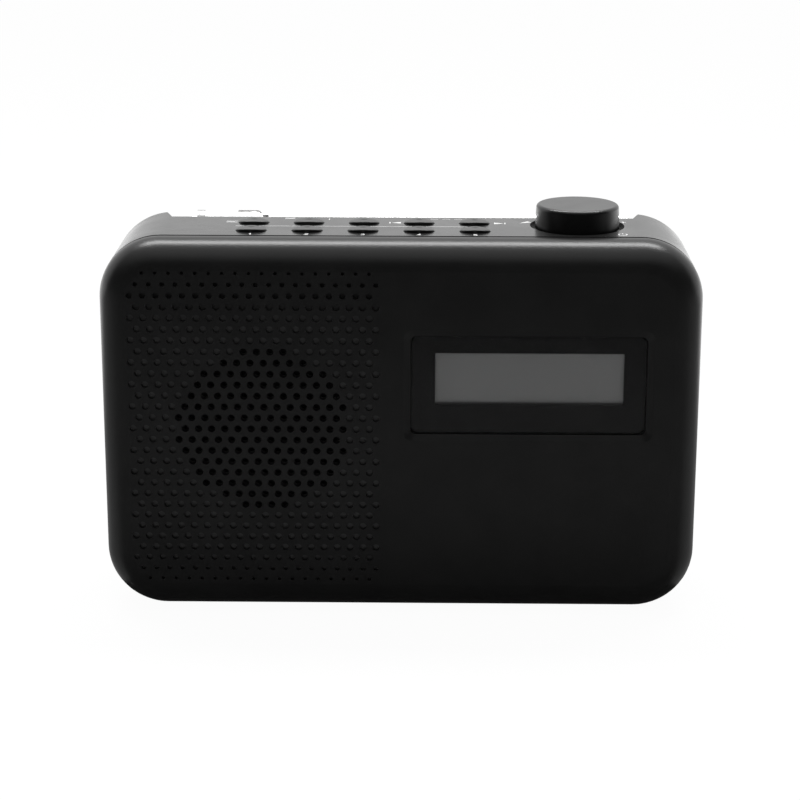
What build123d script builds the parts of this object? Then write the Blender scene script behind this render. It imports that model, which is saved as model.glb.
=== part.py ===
from build123d import *
import os
from math import cos, hypot, radians, sin, sqrt, tan

# A tabletop radio in millimetres, +Z up, with the front towards -Y.
# The origin is on the table, under the middle of the case.
# A depth is measured from the front face towards the back.

# Case
CASE_WIDTH = 185.0
CASE_HEIGHT = 118.5
CORNER_RADIUS = 19.0
FRONT_EDGE_RADIUS = 9.0
REAR_EDGE_RADIUS = 10.0
WALL = 2.5
FRONT_WALL = 3.2
FRONT_SHELL_DEPTH = 10.8
DECK_DEPTH = 27.7
TROUGH_WIDTH = 16.5
SEAM_WIDTH = 1.3
SEAM_DEPTH = 0.6
TONGUE_LENGTH = 2.0
TONGUE_THICKNESS = 1.15
FIT = 0.1
RUN = 0.05
FOOT_HEIGHT = 1.2
FOOT_SEAT = 0.8
FOOT_RADIUS = 5.5
FOOT_SIDE_INSET = 22.5
FOOT_END_INSET = 7.0

# Screws that join the two shells
CASE_SCREW_SIDE_INSET = 14.0
CASE_SCREW_END_INSET = 16.5
CASE_BOSS_RADIUS = 3.5
CASE_BOSS_END = 16.0
SCREW_TUBE_RADIUS = 4.5
SCREW_TUBE_FLOOR = 2.0
SCREW_HEAD_RADIUS = 2.9
SCREW_HEAD_HEIGHT = 2.2
SCREW_SHANK_RADIUS = 1.2
SCREW_LENGTH = 10.0
SMALL_HEAD_HEIGHT = 1.6
CROSS_LENGTH_SHARE = 1.1
CROSS_WIDTH_SHARE = 0.28
CROSS_DEPTH_SHARE = 0.5

# Grille
HOLE_PITCH = 4.05
HOLE_RADIUS = 1.1
DIMPLE_DEPTH = 1.9
GRILLE_X = -41.9
GRILLE_RISE = 0.6
GRILLE_ROWS = 14
GRILLE_COLUMNS_LEFT = 10
GRILLE_COLUMNS_RIGHT = 8
GRILLE_EDGE_MARGIN = 0.9
FADE_SHARES = (0.48, 0.67, 0.86)
SPEAKER_SHIFT = -0.6
SOUND_RADIUS = 26.1

# Display
WINDOW_X = 39.3
WINDOW_RISE = 14.6
WINDOW_WIDTH = 71.8
WINDOW_HEIGHT = 30.5
WINDOW_CORNER = 1.5
WINDOW_THICKNESS = 1.3
WINDOW_RECESS = 0.85
WINDOW_CLEARANCE = 0.35
BEVEL = 2.4
MASK_THICKNESS = 0.2
LEDGE_THICKNESS = 1.5
FRAME_PAD = 4.2
LCD_WIDTH = 57.9
LCD_HEIGHT = 16.3
LCD_SHIFT_X = 0.3
LCD_RISE = 1.8
LCD_BORDER = 3.0
LCD_GAP = 1.0
LCD_THICKNESS = 2.4
LCD_BEZEL_WIDTH = 2.2
LCD_SCREW_INSET = 2.2
LCD_HEAD_RADIUS = 2.2
LCD_BOARD_CORNER = 2.2
LCD_BOSS_RADIUS = 2.0
BOARD = 1.6

# Speaker
SPEAKER_OPENING = 28.0
SPEAKER_RIM = 5.0
GASKET_THICKNESS = 1.0
SURROUND_THICKNESS = 0.6
SURROUND_ROLL = 1.6
FLANGE_THICKNESS = 1.2
SURROUND_WIDTH = 4.0
CONE_THICKNESS = 0.8
CONE_TRAVEL = 1.0
CONE_DEPTH = 9.2
COIL_RADIUS = 10.3
COIL_THICKNESS = 0.5
COIL_LENGTH = 7.5
COIL_GAP = 0.4
MAGNET_GAP = 1.6
BASKET_DEPTH = 11.0
TOP_PLATE_RADIUS = 18.0
TOP_PLATE_THICKNESS = 3.0
MAGNET_RADIUS = 19.0
MAGNET_THICKNESS = 7.0
YOKE_RADIUS = 17.5
YOKE_THICKNESS = 3.0
DUST_CAP_RISE = 3.0
SPEAKER_BOSS_RADIUS = 2.75
SPEAKER_HEAD_RADIUS = 3.5
BASKET_WINDOW = 15.0

# Buttons on the deck
BUTTON_WIDTH = 9.3
BUTTON_DEPTH = 6.2
BUTTON_PROUD = 1.05
BUTTON_TRAVEL = 0.6
BUTTON_CROWN = 0.6
BUTTON_EDGE = 0.35
BUTTON_DISH = 0.15
BUTTON_DISH_RADIUS = 1.4
BUTTON_CLEARANCE = 0.2
BUTTON_COUNT = 5
BUTTON_FIRST_X = -46.3
BUTTON_PITCH = 17.26
BUTTON_ROW_PITCH = 11.8
BUTTON_ROWS_SHIFT = -0.95
BUTTON_FLANGE = 1.0
BUTTON_FLANGE_THICKNESS = 0.8
STEM_RADIUS = 1.7
STEM_ENTRY = 0.5
SWITCH_SIZE = 6.0
SWITCH_HEIGHT = 3.4
SWITCH_SPARE = 0.3

# Board under the deck
CONTROL_BOARD_DROP = 11.0
CONTROL_BOARD_MARGIN = 2.6
CONTROL_BOARD_LEFT = 14.0
CONTROL_BOARD_RIGHT = 18.85
CONTROL_BOSS_RADIUS = 2.4

# Knob and its encoder
KNOB_SIDE_INSET = 37.75
KNOB_SHIFT = 2.75
KNOB_RADIUS = 13.15
KNOB_TAPER = 0.35
KNOB_HEIGHT = 6.9
KNOB_EDGE = 1.1
KNOB_SINK = 0.6
KNOB_PRESS = 0.5
KNOB_WALL = 2.0
KNOB_HUB_RADIUS = 5.0
RECESS_RADIUS = 14.7
RECESS_DEPTH = 1.5
BULGE_WALL = 1.8
SHAFT_RADIUS = 3.0
SHAFT_COVER = 4.0
SHAFT_HOLE_CLEARANCE = 0.5
ENCODER_SIZE = 12.0
ENCODER_HEIGHT = 5.4
ENCODER_BUSH_RADIUS = 4.5
ENCODER_BUSH_HEIGHT = 1.0
ENCODER_FLOOR = 0.6
PLUNGER_RADIUS = 3.6
PLUNGER_THICKNESS = 1.2
PLUNGER_SPARE = 0.5

# Antenna and its trough
TROUGH_DEPTH = 8.6
TROUGH_SIDE_INSET = 19.4
TROUGH_FLARE = 17.0
ANTENNA_SETBACK = 5.0
ANTENNA_DROP = 4.2
TUBE_RADIUS = 3.25
TUBE_WALL = 0.4
INNER_TUBES = 4
TUBE_STEP = 1.2
TUBE_OFFSET = 7.0
TUBE_SIDE_INSET = 28.5
TIP_LENGTH = 4.2
TIP_EDGE = 1.0
NOTCH_CLEARANCE = 0.7
PIVOT_SIDE_INSET = 44.5
FORK_RADIUS = 4.0
FORK_LENGTH = 9.0
COLLAR_LENGTH = 6.4
SLOT_WIDTH = 3.0
TONGUE_RADIUS = 3.4
SHOULDER_GAP = 1.0
PLUG_LENGTH = 5.0
PIN_RADIUS = 1.0
SPINDLE_RADIUS = 2.0
UPRIGHT_THICKNESS = 2.5
BRACKET_THICKNESS = 1.2
BRACKET_LENGTH = 8.6
BRACKET_WIDTH = 9.0
CLIP_RADIUS = 2.8
CLIP_THICKNESS = 1.0
ANTENNA_HEAD_RADIUS = 2.2
ANTENNA_SHANK_RADIUS = 1.25
NUT_RADIUS = 2.6
NUT_THICKNESS = 2.0

# Batteries and their door
CELL_RADIUS = 7.1
CELL_LENGTH = 50.5
CELL_NUB_RADIUS = 2.75
CELL_NUB_LENGTH = 1.2
CELL_SPARE = 0.4
CONTACT_THICKNESS = 0.5
CONTACT_SPRING = 2.0
CONTACT_SPRING_RADIUS = 2.5
CONTACT_SIZE = 8.5
TUB_WALL = 1.5
TUB_RISE = 14.0
DOOR_THICKNESS = 2.0
DOOR_LEDGE_X = 3.0
DOOR_LEDGE_Z = 2.2
DOOR_CLEARANCE = 0.25
DOOR_CORNER = 2.0
DOOR_GRIP_WIDTH = 18.0
DOOR_GRIP_HEIGHT = 5.0
DOOR_GRIP_DEPTH = 0.9

# Main board and its sockets
MAIN_BOARD_SETBACK = 19.0
MAIN_BOARD_LEFT = -8.0
MAIN_BOARD_SIDE_INSET = 8.5
MAIN_BOARD_GAP = 4.0
BOARD_SCREW_INSET = 4.0
BOARD_BOSS_RADIUS = 3.0
BOARD_HEAD_RADIUS = 2.5
SHIELD_WIDTH = 22.0
SHIELD_HEIGHT = 18.0
SHIELD_THICKNESS = 4.0
SHIELD_X = 18.0
CAPACITOR_RADIUS = 4.0
CAPACITOR_LENGTH = 10.0
CAPACITOR_COUNT = 3
CAPACITOR_X = 20.0
CAPACITOR_PITCH = 10.0
SOCKET_SIDE_INSET = 28.5
SOCKET_PITCH = 17.0
SOCKET_SIZE = 10.0
SOCKET_NOSE_RADIUS = 4.0
SOCKET_NOSE_RECESS = 0.3
HEADPHONE_BORE_RADIUS = 1.8
HEADPHONE_BORE_DEPTH = 14.0
POWER_BORE_RADIUS = 2.8
POWER_BORE_DEPTH = 9.5
POWER_PIN_RADIUS = 1.0

# Ribbons and wires
RIBBON_WIDTH = 12.0
RIBBON_THICKNESS = 0.4
RIBBON_BEND = 2.5
WIRE_RADIUS = 0.6
WIRE_BEND = 4.0
WIRE_SPACING = 4.0
SPEAKER_WIRE_RISE = 6.0
BATTERY_WIRE_INSET = 6.0
ANTENNA_LEAD_DROP = 12.0
DISPLAY_RIBBON_DROP = 10.45

# Levels and places worked out from the sizes above
CASE_DEPTH = FRONT_SHELL_DEPTH + DECK_DEPTH + TROUGH_WIDTH
BASE = FOOT_HEIGHT
TOP = BASE + CASE_HEIGHT
MID = BASE + CASE_HEIGHT / 2
SIDE = CASE_WIDTH / 2
REAR_INSIDE = CASE_DEPTH - WALL
DECK_UNDER = TOP - WALL
DECK_MIDDLE = FRONT_SHELL_DEPTH + DECK_DEPTH / 2
TROUGH_FRONT = CASE_DEPTH - TROUGH_WIDTH
TROUGH_FLOOR = TOP - TROUGH_DEPTH
TROUGH_UNDER = TROUGH_FLOOR - WALL
TROUGH_END = SIDE - TROUGH_SIDE_INSET
KNOB_X = SIDE - KNOB_SIDE_INSET
AXIS_DEPTH = CASE_DEPTH - ANTENNA_SETBACK
AXIS_Z = TOP - ANTENNA_DROP
PIVOT_X = PIVOT_SIDE_INSET - SIDE
TUBE_START = PIVOT_X + TUBE_OFFSET
TUBE_END = SIDE - TUBE_SIDE_INSET


def to_y(depth):
    """The Y of a depth behind the front face."""
    return depth - CASE_DEPTH / 2


def block(x0, x1, depth0, depth1, z0, z1):
    """A box between two corners."""
    middle = Pos((x0 + x1) / 2, to_y((depth0 + depth1) / 2), (z0 + z1) / 2)
    return middle * Box(x1 - x0, depth1 - depth0, z1 - z0)


def rod_x(x0, x1, depth, z, radius):
    """A round bar along X."""
    return Pos((x0 + x1) / 2, to_y(depth), z) * Rot(Y=90) * Cylinder(radius, x1 - x0)


def rod_y(x, z, depth0, depth1, radius):
    """A round bar along Y."""
    return Pos(x, to_y((depth0 + depth1) / 2), z) * Rot(X=90) * Cylinder(radius, depth1 - depth0)


def rod_z(x, depth, z0, z1, radius):
    """A round bar along Z."""
    return Pos(x, to_y(depth), (z0 + z1) / 2) * Cylinder(radius, z1 - z0)


def front_plane(x, depth, z):
    """A plane parallel to the front, looking towards the back."""
    return Plane(origin=(x, to_y(depth), z), x_dir=(1, 0, 0), z_dir=(0, 1, 0))


def panel(x, z, width, height, corner, depth0, depth1):
    """A plate parallel to the front with rounded corners."""
    outline = front_plane(x, depth0, z) * RectangleRounded(width, height, corner)
    return extrude(outline, amount=depth1 - depth0)


def turned(x, z, *points):
    """A body turned about an axis along Y, from a closed outline of (radius, depth)."""
    flat = make_face(Polyline(*[(radius, to_y(depth)) for radius, depth in points], close=True))
    return Pos(x, 0, z) * revolve(flat, Axis.Y)


def rounded_case(inset, depth0, depth1, front_edge, rear_edge):
    """The case's rounded block, drawn in by an inset on its four sides."""
    width = CASE_WIDTH - 2 * inset
    height = CASE_HEIGHT - 2 * inset
    body = panel(0, MID, width, height, CORNER_RADIUS - inset, depth0, depth1)
    body = fillet(body.edges().group_by(Axis.Y)[0], front_edge)
    return fillet(body.edges().group_by(Axis.Y)[-1], rear_edge)


def rim_ring(outer_inset, inner_inset, depth0, depth1):
    """A ring that follows the case's sides between two insets."""
    rings = []
    for inset in (outer_inset, inner_inset):
        width = CASE_WIDTH - 2 * inset
        height = CASE_HEIGHT - 2 * inset
        rings.append(panel(0, MID, width, height, CORNER_RADIUS - inset, depth0, depth1))
    return rings[0] - rings[1]


def keep(name, *solids):
    """Write one node, as a single solid or as a group of like solids."""
    shape = solids[0] if len(solids) == 1 else Compound(list(solids))
    export_step(shape, f"parts/{name}.step")


def screw_y(x, z, seat, head_radius, head_height, length, points_forward):
    """A screw along Y whose head sits at a depth, pointing forward or back."""
    way = -1 if points_forward else 1
    ends = sorted((seat, seat - way * head_height))
    head = rod_y(x, z, ends[0], ends[1], head_radius)
    cross = head_radius * CROSS_LENGTH_SHARE
    arm = head_radius * CROSS_WIDTH_SHARE
    outer = seat - way * head_height
    slot = sorted((outer, outer + way * head_height * CROSS_DEPTH_SHARE))
    for width, height in ((cross, arm), (arm, cross)):
        head -= block(x - width / 2, x + width / 2, slot[0], slot[1], z - height / 2, z + height / 2)
    shank_ends = sorted((seat, seat + way * length))
    return head + rod_y(x, z, shank_ends[0], shank_ends[1], SCREW_SHANK_RADIUS - RUN)


# Case outside and inside
OUTSIDE = rounded_case(0, 0, CASE_DEPTH, FRONT_EDGE_RADIUS, REAR_EDGE_RADIUS)
INSIDE = rounded_case(WALL, FRONT_WALL, REAR_INSIDE, FRONT_EDGE_RADIUS - WALL, REAR_EDGE_RADIUS - WALL)
REACH = CASE_WIDTH

case_screw_x = SIDE - CASE_SCREW_SIDE_INSET
CASE_SCREWS = [
    (side * case_screw_x, z)
    for side in (-1, 1)
    for z in (BASE + CASE_SCREW_END_INSET, TOP - CASE_SCREW_END_INSET)
]

# Speaker stack, from the front wall back
speaker_x = GRILLE_X + SPEAKER_SHIFT
speaker_radius = SPEAKER_OPENING + SPEAKER_RIM
cone_radius = SPEAKER_OPENING - SURROUND_WIDTH
speaker_z = MID + GRILLE_RISE
surround_depth = FRONT_WALL + GASKET_THICKNESS
flange_depth = surround_depth + SURROUND_THICKNESS
flange_back = flange_depth + FLANGE_THICKNESS
basket_floor = flange_back + BASKET_DEPTH
plate_back = basket_floor + TOP_PLATE_THICKNESS
magnet_back = plate_back + MAGNET_THICKNESS
yoke_back = magnet_back + YOKE_THICKNESS
cone_front = surround_depth + CONE_TRAVEL
cone_back = cone_front + CONE_DEPTH
speaker_screw_radius = speaker_radius + SPEAKER_BOSS_RADIUS + FIT
SPEAKER_SCREWS = [
    (speaker_x + speaker_screw_radius * cos(radians(a)), speaker_z + speaker_screw_radius * sin(radians(a)))
    for a in (45, 135, 225, 315)
]

# Display stack, from the recess back
window_z = MID + WINDOW_RISE
window_back = WINDOW_RECESS + WINDOW_THICKNESS
mask_back = window_back + MASK_THICKNESS
ledge_back = mask_back + LEDGE_THICKNESS
lcd_x = WINDOW_X + LCD_SHIFT_X
lcd_z = window_z + LCD_RISE
lcd_front = mask_back + LCD_GAP
lcd_back = lcd_front + LCD_THICKNESS
glass_width = LCD_WIDTH + 2 * LCD_BORDER
glass_height = LCD_HEIGHT + 2 * LCD_BORDER
pad_width = WINDOW_WIDTH + 2 * FRAME_PAD
pad_height = WINDOW_HEIGHT + 2 * FRAME_PAD
lcd_board_back = lcd_back + BOARD
LCD_SCREWS = [
    (WINDOW_X + sx * (pad_width / 2 - LCD_SCREW_INSET), window_z + sz * (pad_height / 2 - LCD_SCREW_INSET))
    for sx in (-1, 1)
    for sz in (-1, 1)
]
lcd_screw_length = lcd_board_back - FRONT_WALL


def grille_points():
    """Each lattice point as (x, z, share of the full hole, is it open)."""
    flat_x = SIDE - CORNER_RADIUS
    flat_z = CASE_HEIGHT / 2 - CORNER_RADIUS
    flat_corner = CORNER_RADIUS - FRONT_EDGE_RADIUS + GRILLE_EDGE_MARGIN
    for row in range(-GRILLE_ROWS, GRILLE_ROWS + 1):
        stagger = 0.5 * (row % 2)
        from_edge = GRILLE_ROWS - abs(row)
        share = FADE_SHARES[from_edge] if from_edge < len(FADE_SHARES) else 1.0
        for column in range(-GRILLE_COLUMNS_LEFT, GRILLE_COLUMNS_RIGHT + 1):
            x = GRILLE_X + HOLE_PITCH * (column + stagger)
            rise = HOLE_PITCH * sqrt(3) / 2 * row
            z = MID + GRILLE_RISE + rise
            corner_x = max(abs(x) - flat_x, 0)
            corner_z = max(abs(z - MID) - flat_z, 0)
            if hypot(corner_x, corner_z) > flat_corner:
                continue
            yield x, z, share, hypot(x - speaker_x, rise) <= SOUND_RADIUS


def make_front_shell():
    """The front half of the case."""
    shell = OUTSIDE & block(-REACH, REACH, -WALL, FRONT_SHELL_DEPTH, 0, REACH)
    shell -= INSIDE
    seam_back = FRONT_SHELL_DEPTH + TONGUE_LENGTH
    shell += rim_ring(WALL - TONGUE_THICKNESS, WALL, FRONT_SHELL_DEPTH - WALL, seam_back)
    shell -= rim_ring(-SEAM_DEPTH, SEAM_DEPTH, FRONT_SHELL_DEPTH - SEAM_WIDTH, FRONT_SHELL_DEPTH)
    pad_corner = WINDOW_CORNER + FRAME_PAD
    shell += panel(WINDOW_X, window_z, pad_width, pad_height, pad_corner, FRONT_WALL, ledge_back)
    for x, z in CASE_SCREWS:
        shell += rod_y(x, z, FRONT_WALL, CASE_BOSS_END, CASE_BOSS_RADIUS)
    for x, z in SPEAKER_SCREWS:
        shell += rod_y(x, z, FRONT_WALL, flange_back, SPEAKER_BOSS_RADIUS)
    for x, z in LCD_SCREWS:
        shell += rod_y(x, z, FRONT_WALL, lcd_back, LCD_BOSS_RADIUS)

    bevel_width = WINDOW_WIDTH + 2 * BEVEL
    bevel_height = WINDOW_HEIGHT + 2 * BEVEL
    bevel_outside = RectangleRounded(bevel_width, bevel_height, WINDOW_CORNER + BEVEL / 2)
    seat_width = WINDOW_WIDTH + 2 * WINDOW_CLEARANCE
    seat_height = WINDOW_HEIGHT + 2 * WINDOW_CLEARANCE
    seat_corner = WINDOW_CORNER + WINDOW_CLEARANCE
    bevel_inside = RectangleRounded(seat_width, seat_height, seat_corner)
    bevel = loft(
        [
            front_plane(WINDOW_X, 0, window_z) * bevel_outside,
            front_plane(WINDOW_X, WINDOW_RECESS, window_z) * bevel_inside,
        ],
        ruled=True,
    )
    cuts = [
        bevel,
        panel(WINDOW_X, window_z, seat_width, seat_height, seat_corner, WINDOW_RECESS, mask_back),
        block(
            lcd_x - glass_width / 2 - FIT, lcd_x + glass_width / 2 + FIT, mask_back, ledge_back,
            lcd_z - glass_height / 2 - FIT, lcd_z + glass_height / 2 + FIT),
    ]
    for x, z in CASE_SCREWS:
        start = CASE_BOSS_END - SCREW_LENGTH
        cuts.append(rod_y(x, z, start, CASE_BOSS_END, SCREW_SHANK_RADIUS))
    for x, z in SPEAKER_SCREWS:
        cuts.append(rod_y(x, z, FRONT_WALL, flange_back, SCREW_SHANK_RADIUS))
    for x, z in LCD_SCREWS:
        cuts.append(rod_y(x, z, FRONT_WALL, lcd_back, SCREW_SHANK_RADIUS))
    for x, z, share, is_open in grille_points():
        end = FRONT_WALL + FIT if is_open else DIMPLE_DEPTH
        cuts.append(rod_y(x, z, -FIT, end, HOLE_RADIUS * share))
    return shell - cuts


# Deck controls
button_front_row = DECK_MIDDLE + BUTTON_ROWS_SHIFT - BUTTON_ROW_PITCH / 2
BUTTON_X = [BUTTON_FIRST_X + BUTTON_PITCH * i for i in range(BUTTON_COUNT)]
BUTTON_ROWS = [button_front_row, button_front_row + BUTTON_ROW_PITCH]
BUTTONS = [(x, depth) for depth in BUTTON_ROWS for x in BUTTON_X]
knob_depth = DECK_MIDDLE + KNOB_SHIFT
board_top = TOP - CONTROL_BOARD_DROP
board_under = board_top - BOARD
switch_top = board_top + SWITCH_HEIGHT
recess_floor = TOP - RECESS_DEPTH
recess_under = recess_floor - WALL
control_left = BUTTON_X[0] - CONTROL_BOARD_LEFT
control_right = KNOB_X + CONTROL_BOARD_RIGHT
control_front = FRONT_SHELL_DEPTH + CONTROL_BOARD_MARGIN
control_back = TROUGH_FRONT - WALL - FIT
button_middle = (BUTTON_ROWS[0] + BUTTON_ROWS[1]) / 2
CONTROL_SCREWS = [
    (x, button_middle)
    for x in (
        control_left + CONTROL_BOSS_RADIUS + FIT,
        (BUTTON_X[1] + BUTTON_X[2]) / 2,
        (BUTTON_X[3] + BUTTON_X[4]) / 2,
        control_right - CONTROL_BOSS_RADIUS - FIT,
    )
]

# Antenna along its own axis
pin_slot_end = PIVOT_X - FORK_RADIUS - SHOULDER_GAP
collar_end = PIVOT_X - FORK_LENGTH
collar_start = collar_end - COLLAR_LENGTH
upright_end = collar_start - FIT
upright_start = upright_end - UPRIGHT_THICKNESS
clip_start = upright_start - FIT - CLIP_THICKNESS
bracket_start = upright_start - BRACKET_LENGTH
antenna_screw_x = bracket_start + ANTENNA_HEAD_RADIUS + RUN
notch_radius = TUBE_RADIUS + NOTCH_CLEARANCE
bracket_top = TROUGH_FLOOR + BRACKET_THICKNESS
plug_radius = TUBE_RADIUS - TUBE_WALL


def tube_radius(index):
    """Outer radius of a tube: each one runs inside the one before."""
    return TUBE_RADIUS - index * (TUBE_WALL + RUN)


def trough_shape(margin, floor_z):
    """The trough's plan, grown by a margin, from a floor up past the deck."""
    spread = tan(radians(TROUGH_FLARE))
    back = CASE_DEPTH + WALL
    front = TROUGH_FRONT - margin
    ends = []
    for depth in (front, back):
        ends.append(TROUGH_END + margin + spread * (depth - TROUGH_FRONT))
    outline = Polyline(
        (-ends[0], to_y(front)),
        (ends[0], to_y(front)),
        (ends[1], to_y(back)),
        (-ends[1], to_y(back)),
        close=True,
    )
    return Pos(0, 0, floor_z) * extrude(make_face(outline), amount=TOP + WALL - floor_z)


# Battery tub and its door
tub_width = 2 * CELL_LENGTH + 2 * (CONTACT_THICKNESS + CONTACT_SPRING)
tub_height = 4 * CELL_RADIUS + 3 * CELL_SPARE
tub_depth = 2 * CELL_RADIUS + 2 * CELL_SPARE
tub_bottom = BASE + TUB_RISE
tub_top = tub_bottom + tub_height
tub_z = (tub_bottom + tub_top) / 2
door_inside = CASE_DEPTH - DOOR_THICKNESS
tub_front = door_inside - tub_depth
door_width = tub_width + 2 * DOOR_LEDGE_X
door_height = tub_height + 2 * DOOR_LEDGE_Z
door_corner = DOOR_CORNER + DOOR_CLEARANCE
ledge_top = tub_top + DOOR_LEDGE_Z + DOOR_CLEARANCE + TUB_WALL

# Main board between the battery tub and the trough
main_right = SIDE - MAIN_BOARD_SIDE_INSET
socket_x = SIDE - SOCKET_SIDE_INSET
main_front = CASE_DEPTH - MAIN_BOARD_SETBACK
main_back = main_front + BOARD
main_bottom = ledge_top + MAIN_BOARD_GAP
main_top = TOP - CASE_SCREW_END_INSET - SCREW_TUBE_RADIUS - FIT
MAIN_SCREWS = [
    (x, z)
    for x in (MAIN_BOARD_LEFT + BOARD_SCREW_INSET, main_right - BOARD_SCREW_INSET)
    for z in (main_bottom + BOARD_SCREW_INSET, main_top - BOARD_SCREW_INSET)
]
socket_middle = (main_bottom + main_top) / 2
headphone_z = socket_middle + SOCKET_PITCH / 2
power_z = socket_middle - SOCKET_PITCH / 2
nose_end = CASE_DEPTH - SOCKET_NOSE_RECESS

FEET = [
    (side * (SIDE - FOOT_SIDE_INSET), depth)
    for side in (-1, 1)
    for depth in (FRONT_SHELL_DEPTH + FOOT_END_INSET, CASE_DEPTH - REAR_EDGE_RADIUS - FOOT_END_INSET)
]


def oval(x, depth, width, length, z0, z1):
    """An upright oval prism."""
    return Pos(x, to_y(depth), z0) * extrude(Ellipse(width / 2, length / 2), amount=z1 - z0)


def make_rear_shell():
    """Deck, sides, underside and back, with the trough and the battery tub."""
    room = INSIDE - trough_shape(WALL, TROUGH_UNDER)
    shell = OUTSIDE & block(-REACH, REACH, FRONT_SHELL_DEPTH, CASE_DEPTH + WALL, 0, REACH)
    shell -= room
    pads = [
        rod_z(KNOB_X, knob_depth, recess_under, DECK_UNDER, RECESS_RADIUS + BULGE_WALL)
        & block(-REACH, REACH, FRONT_SHELL_DEPTH + TONGUE_LENGTH + FIT, TROUGH_FRONT, 0, REACH),
        panel(
            0,
            tub_z,
            door_width + 2 * DOOR_CLEARANCE + 2 * TUB_WALL,
            door_height + 2 * DOOR_CLEARANCE + 2 * TUB_WALL,
            door_corner + TUB_WALL,
            door_inside - TUB_WALL,
            REAR_INSIDE,
        ),
        block(
            -tub_width / 2 - TUB_WALL,
            tub_width / 2 + TUB_WALL,
            tub_front - TUB_WALL,
            REAR_INSIDE,
            tub_bottom - TUB_WALL,
            tub_top + TUB_WALL,
        ),
    ]
    for x, z in CASE_SCREWS:
        pads.append(rod_y(x, z, CASE_BOSS_END, REAR_INSIDE, SCREW_TUBE_RADIUS))
    for x, depth in CONTROL_SCREWS:
        pads.append(rod_z(x, depth, board_top, DECK_UNDER, CONTROL_BOSS_RADIUS))
    for x, z in MAIN_SCREWS:
        pads.append(rod_y(x, z, main_back, REAR_INSIDE, BOARD_BOSS_RADIUS))
    for x, depth in FEET:
        pads.append(rod_z(x, depth, BASE + WALL, BASE + WALL + FOOT_SEAT, FOOT_RADIUS + WALL))
    shell += pads

    bulge = rod_z(KNOB_X, knob_depth, TROUGH_FLOOR, TOP, RECESS_RADIUS + BULGE_WALL)
    groove_back = FRONT_SHELL_DEPTH + TONGUE_LENGTH + FIT
    cuts = [
        trough_shape(0, TROUGH_FLOOR) - bulge,
        rim_ring(WALL - TONGUE_THICKNESS - FIT, WALL + FIT, FRONT_SHELL_DEPTH, groove_back),
        rod_z(KNOB_X, knob_depth, recess_floor, TOP, RECESS_RADIUS),
        rod_z(KNOB_X, knob_depth, recess_under, TOP, SHAFT_RADIUS + SHAFT_HOLE_CLEARANCE),
        block(TROUGH_END, REACH, AXIS_DEPTH - notch_radius, CASE_DEPTH, AXIS_Z - notch_radius, TOP),
        panel(
            0,
            tub_z,
            door_width + 2 * DOOR_CLEARANCE,
            door_height + 2 * DOOR_CLEARANCE,
            door_corner,
            door_inside,
            CASE_DEPTH,
        ),
        block(-tub_width / 2, tub_width / 2, tub_front, door_inside, tub_bottom, tub_top),
        rod_z(antenna_screw_x, AXIS_DEPTH, TROUGH_UNDER, TROUGH_FLOOR, ANTENNA_SHANK_RADIUS + RUN),
    ]
    for x, z in CASE_SCREWS:
        cuts.append(rod_y(x, z, CASE_BOSS_END, CASE_DEPTH, SCREW_SHANK_RADIUS + FIT))
        cuts.append(rod_y(x, z, CASE_BOSS_END + SCREW_TUBE_FLOOR, CASE_DEPTH, SCREW_HEAD_RADIUS + FIT))
    for x, depth in CONTROL_SCREWS:
        cuts.append(rod_z(x, depth, board_top, DECK_UNDER, SCREW_SHANK_RADIUS))
    for x, z in MAIN_SCREWS:
        cuts.append(rod_y(x, z, main_back, REAR_INSIDE, SCREW_SHANK_RADIUS))
    for x, depth in FEET:
        cuts.append(rod_z(x, depth, BASE, BASE + FOOT_SEAT, FOOT_RADIUS))
    for x, depth in BUTTONS:
        width = BUTTON_WIDTH + 2 * BUTTON_CLEARANCE
        length = BUTTON_DEPTH + 2 * BUTTON_CLEARANCE
        cuts.append(oval(x, depth, width, length, DECK_UNDER, TOP))
    for z in (headphone_z, power_z):
        cuts.append(rod_y(socket_x, z, REAR_INSIDE, CASE_DEPTH, SOCKET_NOSE_RADIUS + FIT))
    return shell - cuts


def make_case():
    """Shells, feet and the screws that hold the shells together."""
    keep("front_shell", make_front_shell())
    keep("rear_shell", make_rear_shell())
    keep("rubber_feet", *[rod_z(x, depth, 0, BASE + FOOT_SEAT, FOOT_RADIUS) for x, depth in FEET])
    seat = CASE_BOSS_END + SCREW_TUBE_FLOOR
    keep("case_screws", *[
        screw_y(x, z, seat, SCREW_HEAD_RADIUS, SCREW_HEAD_HEIGHT, SCREW_LENGTH, True) for x, z in CASE_SCREWS
    ])


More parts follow.
